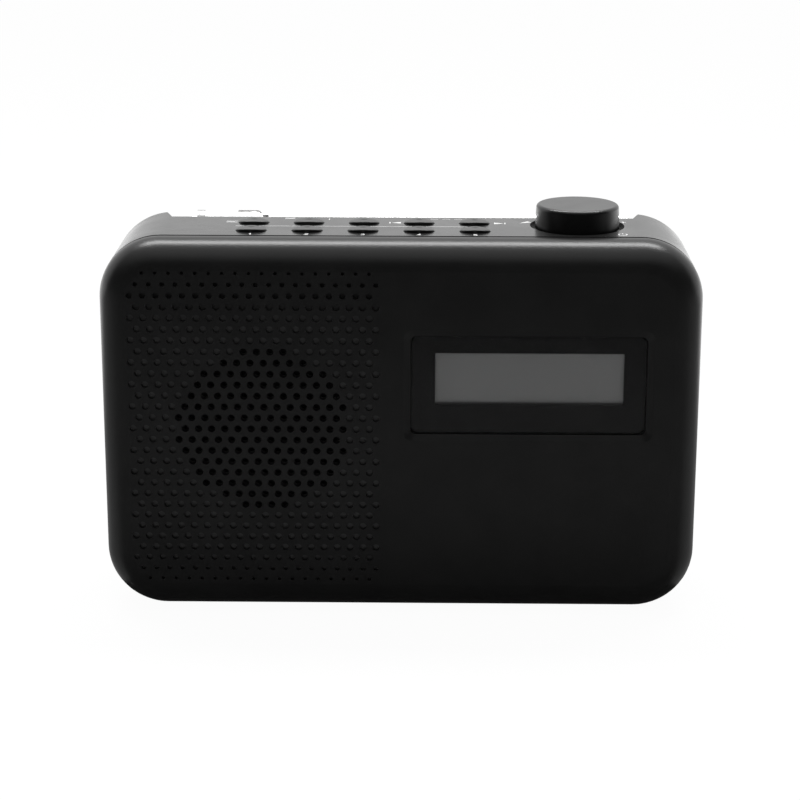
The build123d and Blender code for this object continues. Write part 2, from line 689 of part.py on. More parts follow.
def make_display():
    """Window, mask, display glass, bezel, board and screws."""
    keep("display_window", panel(
        WINDOW_X, window_z, WINDOW_WIDTH, WINDOW_HEIGHT, WINDOW_CORNER, WINDOW_RECESS, window_back))
    mask = panel(WINDOW_X, window_z, WINDOW_WIDTH, WINDOW_HEIGHT, WINDOW_CORNER, window_back, mask_back)
    mask -= block(
        lcd_x - LCD_WIDTH / 2, lcd_x + LCD_WIDTH / 2, window_back, mask_back,
        lcd_z - LCD_HEIGHT / 2, lcd_z + LCD_HEIGHT / 2)
    keep("window_mask", mask)
    keep("lcd_glass", block(
        lcd_x - glass_width / 2, lcd_x + glass_width / 2, lcd_front, lcd_back,
        lcd_z - glass_height / 2, lcd_z + glass_height / 2))
    bezel = panel(
        lcd_x, lcd_z, glass_width + 2 * LCD_BEZEL_WIDTH, glass_height + 2 * LCD_BEZEL_WIDTH,
        LCD_BEZEL_WIDTH, ledge_back, lcd_back)
    bezel -= block(
        lcd_x - glass_width / 2 - FIT, lcd_x + glass_width / 2 + FIT, ledge_back, lcd_back,
        lcd_z - glass_height / 2 - FIT, lcd_z + glass_height / 2 + FIT)
    for x, z in LCD_SCREWS:
        bezel -= rod_y(x, z, ledge_back, lcd_back, LCD_BOSS_RADIUS + FIT)
    keep("lcd_bezel", bezel)
    board = panel(WINDOW_X, window_z, pad_width, pad_height, LCD_BOARD_CORNER, lcd_back, lcd_board_back)
    for x, z in LCD_SCREWS:
        board -= rod_y(x, z, lcd_back, lcd_board_back, SCREW_SHANK_RADIUS + FIT)
    keep("lcd_board", board)
    keep("lcd_screws", *[
        screw_y(x, z, lcd_board_back, LCD_HEAD_RADIUS, SMALL_HEAD_HEIGHT, lcd_screw_length, True)
        for x, z in LCD_SCREWS
    ])


def make_speaker():
    """A small loudspeaker: soft parts in front, iron and magnet behind."""
    x, z = speaker_x, speaker_z
    keep("speaker_gasket", turned(
        x, z,
        (SPEAKER_OPENING, FRONT_WALL), (speaker_radius, FRONT_WALL),
        (speaker_radius, surround_depth), (SPEAKER_OPENING, surround_depth)))
    lip = cone_radius + COIL_GAP
    roll_middle = (lip + SPEAKER_OPENING) / 2
    roll_back = flange_depth + SURROUND_ROLL
    keep("speaker_surround", turned(
        x, z,
        (speaker_radius, surround_depth),
        (speaker_radius, flange_depth),
        (SPEAKER_OPENING - FIT, flange_depth),
        (roll_middle, roll_back),
        (lip, roll_back),
        (lip, surround_depth),
        (lip + SURROUND_THICKNESS, surround_depth),
        (lip + SURROUND_THICKNESS, flange_depth),
        (roll_middle, roll_back - SURROUND_THICKNESS),
        (SPEAKER_OPENING - SURROUND_THICKNESS, surround_depth)))
    keep("speaker_cone", turned(
        x, z,
        (COIL_RADIUS, cone_back), (COIL_RADIUS, cone_back - CONE_THICKNESS),
        (cone_radius - CONE_THICKNESS, cone_front), (cone_radius, cone_front),
        (cone_radius, cone_front + CONE_THICKNESS)))
    coil_front = cone_back - CONE_THICKNESS
    coil_back = coil_front + COIL_LENGTH
    coil_inside = COIL_RADIUS - COIL_THICKNESS
    keep("voice_coil", turned(
        x, z,
        (coil_inside, coil_front), (COIL_RADIUS, coil_front),
        (COIL_RADIUS, coil_back), (coil_inside, coil_back)))
    dome_radius = (COIL_RADIUS**2 + DUST_CAP_RISE**2) / (2 * DUST_CAP_RISE)
    dome_centre = coil_front - DUST_CAP_RISE + dome_radius
    dome = Pos(x, to_y(dome_centre), z) * (Sphere(dome_radius) - Sphere(dome_radius - COIL_THICKNESS))
    keep("dust_cap", dome & rod_y(x, z, coil_front - DUST_CAP_RISE - FIT, coil_front, COIL_RADIUS))
    frame = turned(
        x, z,
        (SPEAKER_OPENING, flange_depth), (speaker_radius, flange_depth), (speaker_radius, flange_back),
        (SPEAKER_OPENING + FLANGE_THICKNESS, flange_back),
        (TOP_PLATE_RADIUS + FLANGE_THICKNESS, basket_floor),
        (COIL_RADIUS + COIL_GAP, basket_floor), (COIL_RADIUS + COIL_GAP, basket_floor - FLANGE_THICKNESS),
        (TOP_PLATE_RADIUS, basket_floor - FLANGE_THICKNESS), (SPEAKER_OPENING, flange_back))
    half = BASKET_WINDOW / 2
    window_front = flange_back + FLANGE_THICKNESS
    window_rear = basket_floor - 2 * FLANGE_THICKNESS
    frame -= block(x - REACH, x + REACH, window_front, window_rear, z - half, z + half)
    frame -= block(x - half, x + half, window_front, window_rear, z - REACH, z + REACH)
    keep("speaker_frame", frame)
    keep("speaker_top_plate", turned(
        x, z,
        (COIL_RADIUS + COIL_GAP, basket_floor), (TOP_PLATE_RADIUS, basket_floor),
        (TOP_PLATE_RADIUS, plate_back), (COIL_RADIUS + COIL_GAP, plate_back)))
    magnet_inside = COIL_RADIUS + MAGNET_GAP
    keep("speaker_magnet", turned(
        x, z,
        (magnet_inside, plate_back), (MAGNET_RADIUS, plate_back),
        (MAGNET_RADIUS, magnet_back), (magnet_inside, magnet_back)))
    pole = coil_inside - COIL_GAP
    keep("speaker_yoke", turned(
        x, z,
        (0, basket_floor), (pole, basket_floor), (pole, magnet_back),
        (YOKE_RADIUS, magnet_back), (YOKE_RADIUS, yoke_back), (0, yoke_back)))
    length = flange_back - FRONT_WALL
    keep("speaker_screws", *[
        screw_y(sx, sz, flange_back, SPEAKER_HEAD_RADIUS, SMALL_HEAD_HEIGHT, length, True)
        for sx, sz in SPEAKER_SCREWS
    ])


def make_button(x, depth):
    """An oval cap crowned along its width, with a finger dimple, a flange and a stem."""
    flange_top = DECK_UNDER - RUN
    flange_under = flange_top - BUTTON_FLANGE_THICKNESS
    cap_top = TOP + BUTTON_PROUD
    cap = oval(x, depth, BUTTON_WIDTH, BUTTON_DEPTH, flange_top, cap_top)
    crown = (BUTTON_WIDTH**2 / 4 + BUTTON_CROWN**2) / (2 * BUTTON_CROWN)
    cap &= rod_y(x, cap_top - crown, depth - BUTTON_DEPTH, depth + BUTTON_DEPTH, crown)
    rim = [edge for edge in cap.edges() if edge.bounding_box().min.Z > flange_top + BUTTON_EDGE]
    cap = fillet(rim, BUTTON_EDGE)
    dish = (BUTTON_DISH_RADIUS**2 + BUTTON_DISH**2) / (2 * BUTTON_DISH)
    cap -= Pos(x, to_y(depth), cap_top - BUTTON_DISH + dish) * Sphere(dish)
    width = BUTTON_WIDTH + 2 * BUTTON_FLANGE
    length = BUTTON_DEPTH + 2 * BUTTON_FLANGE
    cap += oval(x, depth, width, length, flange_under, flange_top)
    return cap + rod_z(x, depth, switch_top - STEM_ENTRY, flange_under, STEM_RADIUS)


def make_buttons():
    """Ten buttons, their switches and the board that carries them."""
    names = [f"preset_button_{i + 1}" for i in range(BUTTON_COUNT)]
    names += ["source_button", "menu_button", "info_button", "previous_button", "next_button"]
    for name, (x, depth) in zip(names, BUTTONS):
        keep(name, make_button(x, depth))
    switches = []
    well = STEM_ENTRY + BUTTON_TRAVEL + SWITCH_SPARE
    half = SWITCH_SIZE / 2
    for x, depth in BUTTONS:
        body = block(x - half, x + half, depth - half, depth + half, board_top, switch_top)
        switches.append(body - rod_z(x, depth, switch_top - well, switch_top, STEM_RADIUS + FIT))
    keep("button_switches", *switches)
    board = block(control_left, control_right, control_front, control_back, board_under, board_top)
    for x, depth in CONTROL_SCREWS:
        board -= rod_z(x, depth, board_under, board_top, SCREW_SHANK_RADIUS + FIT)
    keep("control_board", board)
    screws = []
    for x, depth in CONTROL_SCREWS:
        head = rod_z(x, depth, board_under - SMALL_HEAD_HEIGHT, board_under, CONTROL_BOSS_RADIUS)
        shank_top = DECK_UNDER - WALL
        screws.append(head + rod_z(x, depth, board_under, shank_top, SCREW_SHANK_RADIUS - RUN))
    keep("control_board_screws", *screws)


def make_knob():
    """The knob, its shaft, the press plunger and the encoder on the board."""
    x, depth = KNOB_X, knob_depth
    plunger_under = board_top + ENCODER_FLOOR + KNOB_PRESS + PLUNGER_SPARE
    plunger_top = plunger_under + PLUNGER_THICKNESS
    shaft_under = plunger_top + RUN
    knob_under = TOP - KNOB_SINK
    knob_top = TOP + KNOB_HEIGHT
    height = knob_top - knob_under
    shaft_top = knob_top - SHAFT_COVER

    knob = Cone(KNOB_RADIUS, KNOB_RADIUS - KNOB_TAPER, height)
    knob = fillet(knob.edges().group_by(Axis.Z)[-1], KNOB_EDGE)
    knob = Pos(x, to_y(depth), (knob_under + knob_top) / 2) * knob
    hollow = rod_z(x, depth, knob_under, knob_top - KNOB_WALL, KNOB_RADIUS - KNOB_TAPER - KNOB_WALL)
    hollow -= rod_z(x, depth, knob_under, knob_top - KNOB_WALL, KNOB_HUB_RADIUS)
    knob -= hollow
    knob -= rod_z(x, depth, knob_under, shaft_top, SHAFT_RADIUS + RUN)
    keep("volume_knob", knob)
    keep("encoder_shaft", rod_z(x, depth, shaft_under, shaft_top, SHAFT_RADIUS))
    keep("encoder_plunger", rod_z(x, depth, plunger_under, plunger_top, PLUNGER_RADIUS))
    half = ENCODER_SIZE / 2
    body_top = board_top + ENCODER_HEIGHT
    bush_top = body_top + ENCODER_BUSH_HEIGHT
    body = block(x - half, x + half, depth - half, depth + half, board_top, body_top)
    body += rod_z(x, depth, body_top, bush_top, ENCODER_BUSH_RADIUS)
    body -= rod_z(x, depth, board_top + ENCODER_FLOOR, plunger_top + RUN, PLUNGER_RADIUS + RUN)
    body -= rod_z(x, depth, board_top + ENCODER_FLOOR, bush_top, SHAFT_RADIUS + RUN)
    keep("encoder_body", body)


def make_antenna():
    """Bracket, swivel, hinge and the nested tubes, lying along +X."""
    y = to_y(AXIS_DEPTH)
    half = BRACKET_WIDTH / 2
    near, far = AXIS_DEPTH - half, AXIS_DEPTH + half
    bracket = block(bracket_start, upright_end, near, far, TROUGH_FLOOR, bracket_top)
    bracket += block(upright_start, upright_end, near, far, TROUGH_FLOOR, AXIS_Z)
    bracket += rod_x(upright_start, upright_end, AXIS_DEPTH, AXIS_Z, FORK_RADIUS)
    bracket -= rod_x(upright_start, upright_end, AXIS_DEPTH, AXIS_Z, SPINDLE_RADIUS + RUN)
    bracket -= rod_z(antenna_screw_x, AXIS_DEPTH, TROUGH_FLOOR, bracket_top, ANTENNA_SHANK_RADIUS + RUN)
    keep("antenna_bracket", bracket)
    nut_under = TROUGH_UNDER - NUT_THICKNESS
    head_top = bracket_top + SMALL_HEAD_HEIGHT
    head = rod_z(antenna_screw_x, AXIS_DEPTH, bracket_top, head_top, ANTENNA_HEAD_RADIUS)
    nut = Pos(antenna_screw_x, y, nut_under) * extrude(RegularPolygon(NUT_RADIUS, 6), amount=NUT_THICKNESS)
    nut -= rod_z(antenna_screw_x, AXIS_DEPTH, nut_under, TROUGH_UNDER, ANTENNA_SHANK_RADIUS + RUN)
    screw = head + rod_z(antenna_screw_x, AXIS_DEPTH, nut_under, bracket_top, ANTENNA_SHANK_RADIUS)
    keep("antenna_screw", screw, nut)

    fork = rod_x(collar_start, PIVOT_X, AXIS_DEPTH, AXIS_Z, FORK_RADIUS)
    knuckle_end = rod_y(PIVOT_X, AXIS_Z, AXIS_DEPTH - FORK_RADIUS, AXIS_DEPTH + FORK_RADIUS, FORK_RADIUS)
    fork += knuckle_end & rod_x(PIVOT_X - FORK_RADIUS, PIVOT_X + FORK_RADIUS, AXIS_DEPTH, AXIS_Z, FORK_RADIUS)
    slot = SLOT_WIDTH / 2
    fork -= block(
        pin_slot_end, PIVOT_X + FORK_RADIUS, AXIS_DEPTH - slot, AXIS_DEPTH + slot,
        AXIS_Z - FORK_RADIUS, AXIS_Z + FORK_RADIUS)
    fork -= rod_y(PIVOT_X, AXIS_Z, AXIS_DEPTH - FORK_RADIUS, AXIS_DEPTH + FORK_RADIUS, PIN_RADIUS)
    fork += rod_x(clip_start - CLIP_THICKNESS, collar_start, AXIS_DEPTH, AXIS_Z, SPINDLE_RADIUS)
    keep("antenna_swivel", fork)
    clip = rod_x(clip_start, clip_start + CLIP_THICKNESS, AXIS_DEPTH, AXIS_Z, CLIP_RADIUS)
    clip -= rod_x(clip_start, clip_start + CLIP_THICKNESS, AXIS_DEPTH, AXIS_Z, SPINDLE_RADIUS)
    keep("antenna_clip", clip)
    pin_half = FORK_RADIUS - PIN_RADIUS / 2
    keep("antenna_pin", rod_y(PIVOT_X, AXIS_Z, AXIS_DEPTH - pin_half, AXIS_DEPTH + pin_half, PIN_RADIUS))

    shoulder = PIVOT_X + FORK_RADIUS + SHOULDER_GAP
    leaf = slot - FIT
    knuckle = rod_y(PIVOT_X, AXIS_Z, AXIS_DEPTH - leaf, AXIS_DEPTH + leaf, TONGUE_RADIUS)
    knuckle += block(
        PIVOT_X, shoulder, AXIS_DEPTH - leaf, AXIS_DEPTH + leaf, AXIS_Z - plug_radius, AXIS_Z + plug_radius)
    knuckle += rod_x(shoulder, TUBE_START, AXIS_DEPTH, AXIS_Z, TUBE_RADIUS)
    knuckle += rod_x(TUBE_START, TUBE_START + PLUG_LENGTH, AXIS_DEPTH, AXIS_Z, plug_radius)
    knuckle -= rod_y(PIVOT_X, AXIS_Z, AXIS_DEPTH - leaf, AXIS_DEPTH + leaf, PIN_RADIUS + RUN)
    keep("antenna_knuckle", knuckle)

    for index in range(INNER_TUBES + 1):
        start = TUBE_START
        if index > 0:
            start += PLUG_LENGTH + index * TUBE_STEP / 2
        end = TUBE_END + index * TUBE_STEP
        tube = rod_x(start, end, AXIS_DEPTH, AXIS_Z, tube_radius(index))
        if index < INNER_TUBES:
            tube -= rod_x(start, end, AXIS_DEPTH, AXIS_Z, tube_radius(index) - TUBE_WALL)
        keep(f"antenna_tube_{index + 1}", tube)
    tip_start = TUBE_END + INNER_TUBES * TUBE_STEP
    tip = rod_x(tip_start, tip_start + TIP_LENGTH, AXIS_DEPTH, AXIS_Z, TUBE_RADIUS)
    tip = fillet(tip.edges().group_by(Axis.X)[-1], TIP_EDGE)
    keep("antenna_tip", tip)


def make_battery():
    """Door, four cells in two rows and the contacts at their ends."""
    door = panel(0, tub_z, door_width, door_height, DOOR_CORNER, door_inside, CASE_DEPTH)
    grip_z = tub_z + door_height / 2 - DOOR_GRIP_HEIGHT
    grip_front = CASE_DEPTH - DOOR_GRIP_DEPTH
    door -= panel(0, grip_z, DOOR_GRIP_WIDTH, DOOR_GRIP_HEIGHT, DOOR_CORNER, grip_front, CASE_DEPTH)
    keep("battery_door", door)
    cell_depth = tub_front + CELL_SPARE + CELL_RADIUS
    cells = []
    contacts = []
    for row, nub_way in enumerate((1, -1)):
        z = tub_bottom + CELL_SPARE + CELL_RADIUS + row * (2 * CELL_RADIUS + CELL_SPARE)
        for side in (-1, 1):
            tail, tip = sorted((0, side * CELL_LENGTH), reverse=nub_way < 0)
            nub = tip - nub_way * CELL_NUB_LENGTH
            cell = rod_x(*sorted((tail, nub)), cell_depth, z, CELL_RADIUS)
            cells.append(cell + rod_x(*sorted((nub, tip)), cell_depth, z, CELL_NUB_RADIUS))
            near = side * CELL_LENGTH
            plate = near + side * CONTACT_SPRING
            outer = plate + side * CONTACT_THICKNESS
            half = CONTACT_SIZE / 2
            leaf = block(*sorted((plate, outer)), cell_depth - half, cell_depth + half, z - half, z + half)
            contacts.append(leaf + rod_x(*sorted((near, plate)), cell_depth, z, CONTACT_SPRING_RADIUS))
    keep("battery_cells", *cells)
    keep("battery_contacts", *contacts)


def make_main_board():
    """Main board with its shield, capacitors, sockets and screws."""
    board = block(MAIN_BOARD_LEFT, main_right, main_front, main_back, main_bottom, main_top)
    for x, z in MAIN_SCREWS:
        board -= rod_y(x, z, main_front, main_back, SCREW_SHANK_RADIUS + FIT)
    keep("main_board", board)
    length = BOARD + SCREW_LENGTH
    keep("board_screws", *[
        screw_y(x, z, main_front, BOARD_HEAD_RADIUS, SMALL_HEAD_HEIGHT, length, False) for x, z in MAIN_SCREWS
    ])
    keep("tuner_shield", block(
        SHIELD_X - SHIELD_WIDTH / 2, SHIELD_X + SHIELD_WIDTH / 2, main_front - SHIELD_THICKNESS, main_front,
        socket_middle - SHIELD_HEIGHT / 2, socket_middle + SHIELD_HEIGHT / 2))
    capacitor_end = main_back + CAPACITOR_LENGTH
    keep("board_capacitors", *[
        rod_y(CAPACITOR_X + i * CAPACITOR_PITCH, power_z, main_back, capacitor_end, CAPACITOR_RADIUS)
        for i in range(CAPACITOR_COUNT)
    ])
    half = SOCKET_SIZE / 2
    for name, z, bore, bore_depth in (
        ("headphone_socket", headphone_z, HEADPHONE_BORE_RADIUS, HEADPHONE_BORE_DEPTH),
        ("power_socket", power_z, POWER_BORE_RADIUS, POWER_BORE_DEPTH),
    ):
        body = block(socket_x - half, socket_x + half, main_back, REAR_INSIDE - FIT, z - half, z + half)
        body += rod_y(socket_x, z, REAR_INSIDE - FIT, nose_end, SOCKET_NOSE_RADIUS)
        body -= rod_y(socket_x, z, nose_end - bore_depth, nose_end, bore)
        if name == "power_socket":
            body += rod_y(socket_x, z, nose_end - bore_depth, nose_end - WALL, POWER_PIN_RADIUS)
        keep(name, body)


def ribbon(x, *points):
    """A flat ribbon whose route is drawn in depth and height."""
    route = FilletPolyline(*[(to_y(depth), z) for depth, z in points], radius=RIBBON_BEND)
    flat = trace(route, RIBBON_THICKNESS)
    side_plane = Plane(origin=(x - RIBBON_WIDTH / 2, 0, 0), x_dir=(0, 1, 0), z_dir=(1, 0, 0))
    return extrude(side_plane * flat, amount=RIBBON_WIDTH)


def wire(*points):
    """A round wire along straight runs joined by tangent arcs."""
    route = FilletPolyline(*[(x, to_y(depth), z) for x, depth, z in points], radius=WIRE_BEND)
    return sweep(Plane(origin=route @ 0, z_dir=route % 0) * Circle(WIRE_RADIUS), path=route)


def make_wiring():
    """Ribbons between the boards, and the wires of speaker, antenna and batteries."""
    between = (lcd_board_back + main_front) / 2
    lcd_ribbon_z = window_z
    main_ribbon_z = lcd_ribbon_z - DISPLAY_RIBBON_DROP
    ribbon_x = SHIELD_X + SHIELD_WIDTH
    control_drop = control_back - MAIN_BOARD_GAP
    control_bend = main_top - MAIN_BOARD_GAP
    keep(
        "ribbon_cables",
        ribbon(
            ribbon_x, (lcd_board_back, lcd_ribbon_z), (between, lcd_ribbon_z),
            (between, main_ribbon_z), (main_front, main_ribbon_z)),
        ribbon(
            ribbon_x, (control_drop, board_under), (control_drop, control_bend),
            (main_front, control_bend)),
    )
    wires = []
    flange_edge = speaker_x + (SPEAKER_OPENING + speaker_radius) / 2
    board_edge = MAIN_BOARD_LEFT + BOARD_SCREW_INSET
    halfway = (flange_back + main_front) / 2
    for side in (-1, 1):
        z = speaker_z + SPEAKER_WIRE_RISE + side * WIRE_SPACING / 2
        wires.append(wire(
            (flange_edge, flange_back, z), (flange_edge, halfway, z),
            (board_edge, halfway + WIRE_BEND, z), (board_edge, main_front, z)))
        x = tub_width / 2 - BATTERY_WIRE_INSET + side * WIRE_SPACING / 2
        wire_depth = (main_back + REAR_INSIDE) / 2
        wires.append(wire(
            (x, wire_depth, tub_top + TUB_WALL), (x, wire_depth, main_bottom + BOARD_SCREW_INSET),
            (x, main_back, main_bottom + BOARD_SCREW_INSET)))
    lead_top = TROUGH_UNDER - NUT_THICKNESS
    lead_z = main_top - ANTENNA_LEAD_DROP
    lead_depth = (main_back + AXIS_DEPTH) / 2
    wires.append(wire(
        (antenna_screw_x, AXIS_DEPTH, lead_top), (antenna_screw_x, AXIS_DEPTH, lead_z),
        (board_edge, lead_depth, lead_z), (board_edge, main_back, lead_z)))
    keep("hookup_wires", *wires)


os.makedirs("parts", exist_ok=True)
make_case()
make_display()
make_speaker()
make_buttons()
make_knob()
make_antenna()
make_battery()
make_main_board()
make_wiring()
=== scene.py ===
# %% [markdown]
# # A tabletop radio, dressed for the camera
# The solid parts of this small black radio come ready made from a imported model.
# Blender could rebuild them, but then the looks and the mechanics would drift
# apart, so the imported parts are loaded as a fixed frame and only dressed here.
# Everything is in metres: the table is Z = 0 and the front face looks along -Y.

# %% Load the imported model
import math

import bpy
import numpy as np
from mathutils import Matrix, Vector


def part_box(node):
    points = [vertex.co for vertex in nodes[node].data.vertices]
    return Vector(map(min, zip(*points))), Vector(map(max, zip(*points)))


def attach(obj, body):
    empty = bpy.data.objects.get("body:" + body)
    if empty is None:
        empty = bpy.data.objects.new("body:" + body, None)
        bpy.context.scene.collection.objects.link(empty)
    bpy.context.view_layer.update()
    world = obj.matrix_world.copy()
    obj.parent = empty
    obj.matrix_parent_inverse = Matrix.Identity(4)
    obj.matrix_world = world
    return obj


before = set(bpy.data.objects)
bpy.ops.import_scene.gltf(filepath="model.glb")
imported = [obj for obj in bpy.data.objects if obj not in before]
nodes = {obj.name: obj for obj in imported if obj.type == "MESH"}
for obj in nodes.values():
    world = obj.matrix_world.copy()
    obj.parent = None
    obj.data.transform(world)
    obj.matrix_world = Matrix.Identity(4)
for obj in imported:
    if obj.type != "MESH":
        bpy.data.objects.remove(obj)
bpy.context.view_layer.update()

scene = bpy.context.scene
scene.view_settings.view_transform = "Standard"

# %% [markdown]
# ## The camera
# A catalogue picture of a radio is taken from a little above with a long lens,
# so that the deck shows and the sides stay upright. The place and the turn could
# be found by eye, but lining up the edges of the case and the rows of the grille
# fixes them to a pixel, so the values below are measured ones.

# %% Camera at the photograph's place
CAMERA_PLACE = (0.00833, -0.68472, 0.26231)
CAMERA_TURN = (73.7425, -0.1223, 0.7660)
PICTURE_WIDTH = 800
FOCAL_PIXELS = 2232
SENSOR_WIDTH = 36

camera_data = bpy.data.cameras.new("studio_camera")
camera_data.sensor_width = SENSOR_WIDTH
camera_data.lens = SENSOR_WIDTH * FOCAL_PIXELS / PICTURE_WIDTH
camera = bpy.data.objects.new("studio_camera", camera_data)
camera.location = CAMERA_PLACE
camera.rotation_euler = [math.radians(angle) for angle in CAMERA_TURN]
scene.collection.objects.link(camera)
scene.camera = camera
print("lens", round(camera_data.lens, 2), "mm")

# %% [markdown]
# ## A helper for nodes
# Every light and finish below is a small tree of nodes. Adding them one by one
# through the interface is slow to read back, so one helper adds a node, sets its
# options and fills its sockets: a socket is linked, anything else is a value.

# %% Node helpers
NOISE_BAND = (0.3, 0.7)


def place(tree, kind, inputs=None, **options):
    """Add a node of one kind, set its options, and link or fill the named inputs."""
    node = tree.nodes.new(kind)
    for name, value in options.items():
        setattr(node, name, value)
    for name, value in (inputs or {}).items():
        if isinstance(value, bpy.types.NodeSocket):
            tree.links.new(value, node.inputs[name])
        else:
            node.inputs[name].default_value = value
    return node


def work_out(tree, operation, *values):
    """One sum on sockets or numbers; returns the socket with the answer."""
    node = place(tree, "ShaderNodeMath", dict(enumerate(values)), operation=operation)
    return node.outputs[0]


def spread(tree, value, low, high, to_low, to_high):
    """Carry a value smoothly from one range to another; outside the range it stays at the ends."""
    inputs = {"Value": value, "From Min": low, "From Max": high, "To Min": to_low, "To Max": to_high}
    node = place(tree, "ShaderNodeMapRange", inputs, interpolation_type="SMOOTHSTEP")
    return node.outputs["Result"]


def tones(tree, factor, *stops):
    """A colour ramp between two stops of (position, colour)."""
    node = place(tree, "ShaderNodeValToRGB", {"Fac": factor})
    for point, (position, colour) in zip(node.color_ramp.elements, stops):
        point.position = position
        point.color = (*colour, 1)
    return node.outputs["Color"]


def drift(tree, factor, low, high):
    """A ramp between two colours over the band in which noise mostly lies."""
    return tones(tree, factor, (NOISE_BAND[0], low), (NOISE_BAND[1], high))


def split(tree, vector):
    """The X, Y and Z of a vector as three sockets."""
    return place(tree, "ShaderNodeSeparateXYZ", {"Vector": vector}).outputs


def new_finish(name):
    """An empty material and its tree."""
    material = bpy.data.materials.new(name)
    material.use_nodes = True
    material.node_tree.nodes.clear()
    return material, material.node_tree


print("node helpers ready")

# %% [markdown]
# ## The room
# The radio stands on white paper that is white to the edge of the picture. A huge
# lamp could burn the paper out, but it would bleach the radio too. Here the world
# is plain white to the eye of the camera, while what the plastic mirrors is a
# room: bright behind and overhead, dim on the camera's side, as in a studio.

# %% World
WHITE = (1, 1, 1, 1)
ROOM_DIM = 0.025
ROOM_BEHIND = 1.0
BEHIND_RISE = (-0.10, 0.30)
ROOM_CEILING = 0.80
CEILING_RISE = (0.35, 0.95)


def paint_room():
    """Light by direction: bright behind and overhead, dim low on the camera's side."""
    world = bpy.data.worlds.new("white_studio")
    world.use_nodes = True
    tree = world.node_tree
    tree.nodes.clear()
    _, back, up = split(tree, place(tree, "ShaderNodeTexCoord").outputs["Generated"])
    behind = spread(tree, back, *BEHIND_RISE, 0, ROOM_BEHIND)
    ceiling = spread(tree, up, *CEILING_RISE, 0, ROOM_CEILING)
    bright = work_out(tree, "MAXIMUM", behind, ceiling)
    room = work_out(tree, "ADD", bright, ROOM_DIM)
    ray = place(tree, "ShaderNodeLightPath").outputs
    seen = work_out(tree, "MAXIMUM", ray["Is Camera Ray"], ray["Is Transmission Ray"])
    level = work_out(tree, "MAXIMUM", room, seen)
    light = place(tree, "ShaderNodeBackground", {"Color": WHITE, "Strength": level})
    place(tree, "ShaderNodeOutputWorld", {"Surface": light.outputs["Background"]})
    return world


scene.world = paint_room()
print("room from", ROOM_DIM, "to", ROOM_DIM + ROOM_BEHIND)

# %% [markdown]
# ## The floor
# Real paper would be a plain matte sheet. To keep it white without more light, most
# of what the camera sees of it is a white glow, and the rest is true matte paper,
# which keeps the soft shadow under the feet. What the plastic mirrors of the sheet
# is a painted glow that goes by place: bright behind the radio, softer beside it, a
# faint painted pool of light ahead and a painted shadow close in. That keeps the
# front a deep black with soft pale rims.

# %% Floor sheet
FLOOR_HALF = 3.0
FLOOR_CELLS = 24


def mesh_object(name, points, faces):
    """Put whole arrays of points and faces into a new mesh object."""
    mesh = bpy.data.meshes.new(name)
    mesh.from_pydata(points.tolist(), [], faces.tolist())
    mesh.update()
    made = bpy.data.objects.new(name, mesh)
    scene.collection.objects.link(made)
    return made


def grid_faces(rows, columns):
    """Four-sided faces that join each point of a rows by columns grid to its neighbours."""
    index = np.arange(rows * columns).reshape(rows, columns)
    corners = (index[:-1, :-1], index[:-1, 1:], index[1:, 1:], index[1:, :-1])
    return np.stack(corners, axis=-1).reshape(-1, 4)


def lay_floor():
    """A level square sheet: x and y run evenly from edge to edge and z is nought."""
    side = np.linspace(-FLOOR_HALF, FLOOR_HALF, FLOOR_CELLS + 1)
    x, y = np.meshgrid(side, side)
    points = np.stack((x, y, np.zeros_like(x)), axis=-1).reshape(-1, 3)
    return mesh_object("floor_sheet", points, grid_faces(len(side), len(side)))


floor = lay_floor()
print("floor", 2 * FLOOR_HALF, "m across")

# %% What mirrors see of the floor
FLOOR_DIM = 0.03
FLOOR_FRONT = 0.19
POOL_STARTS = (-0.16, -0.03)
POOL_ENDS = (-0.50, -0.20)
FLOOR_BACK = 1.5
BACK_RISE = (0.03, 0.35)
FLOOR_SIDE = 0.38
SIDE_TURN = (0.5, 1.57)
LEAST_AHEAD = 0.001
FRONT_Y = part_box("front_shell")[0].y
SIDE_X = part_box("front_shell")[1].x


def mirrored_level(tree, where):
    """How bright a mirror sees the sheet, all of it painted light: a painted pool of light ahead
    that is dim at both ends, the near end a painted shadow close to the radio, a rise behind,
    and beside the radio a rise with the turn from straight ahead; the brightest one counts."""
    across, back, _ = split(tree, where)
    # Painted shadow: the pool of painted light ahead dims close to the radio.
    near = spread(tree, back, *POOL_STARTS, FLOOR_FRONT, FLOOR_DIM)
    far = spread(tree, back, *POOL_ENDS, FLOOR_DIM, FLOOR_FRONT)
    ahead = work_out(tree, "MINIMUM", near, far)
    behind = spread(tree, back, *BACK_RISE, FLOOR_DIM, FLOOR_BACK)
    aside = work_out(tree, "SUBTRACT", work_out(tree, "ABSOLUTE", across), SIDE_X)
    before = work_out(tree, "MAXIMUM", work_out(tree, "SUBTRACT", FRONT_Y, back), LEAST_AHEAD)
    turn = work_out(tree, "ARCTAN2", work_out(tree, "MAXIMUM", aside, 0), before)
    beside = spread(tree, turn, *SIDE_TURN, FLOOR_DIM, FLOOR_SIDE)
    return work_out(tree, "MAXIMUM", work_out(tree, "MAXIMUM", ahead, behind), beside)


print("mirrored floor from", FLOOR_DIM, "to", FLOOR_BACK)

# %% White paper
FLOOR_GLOW = 0.96
FIBRES_PER_METRE = 300


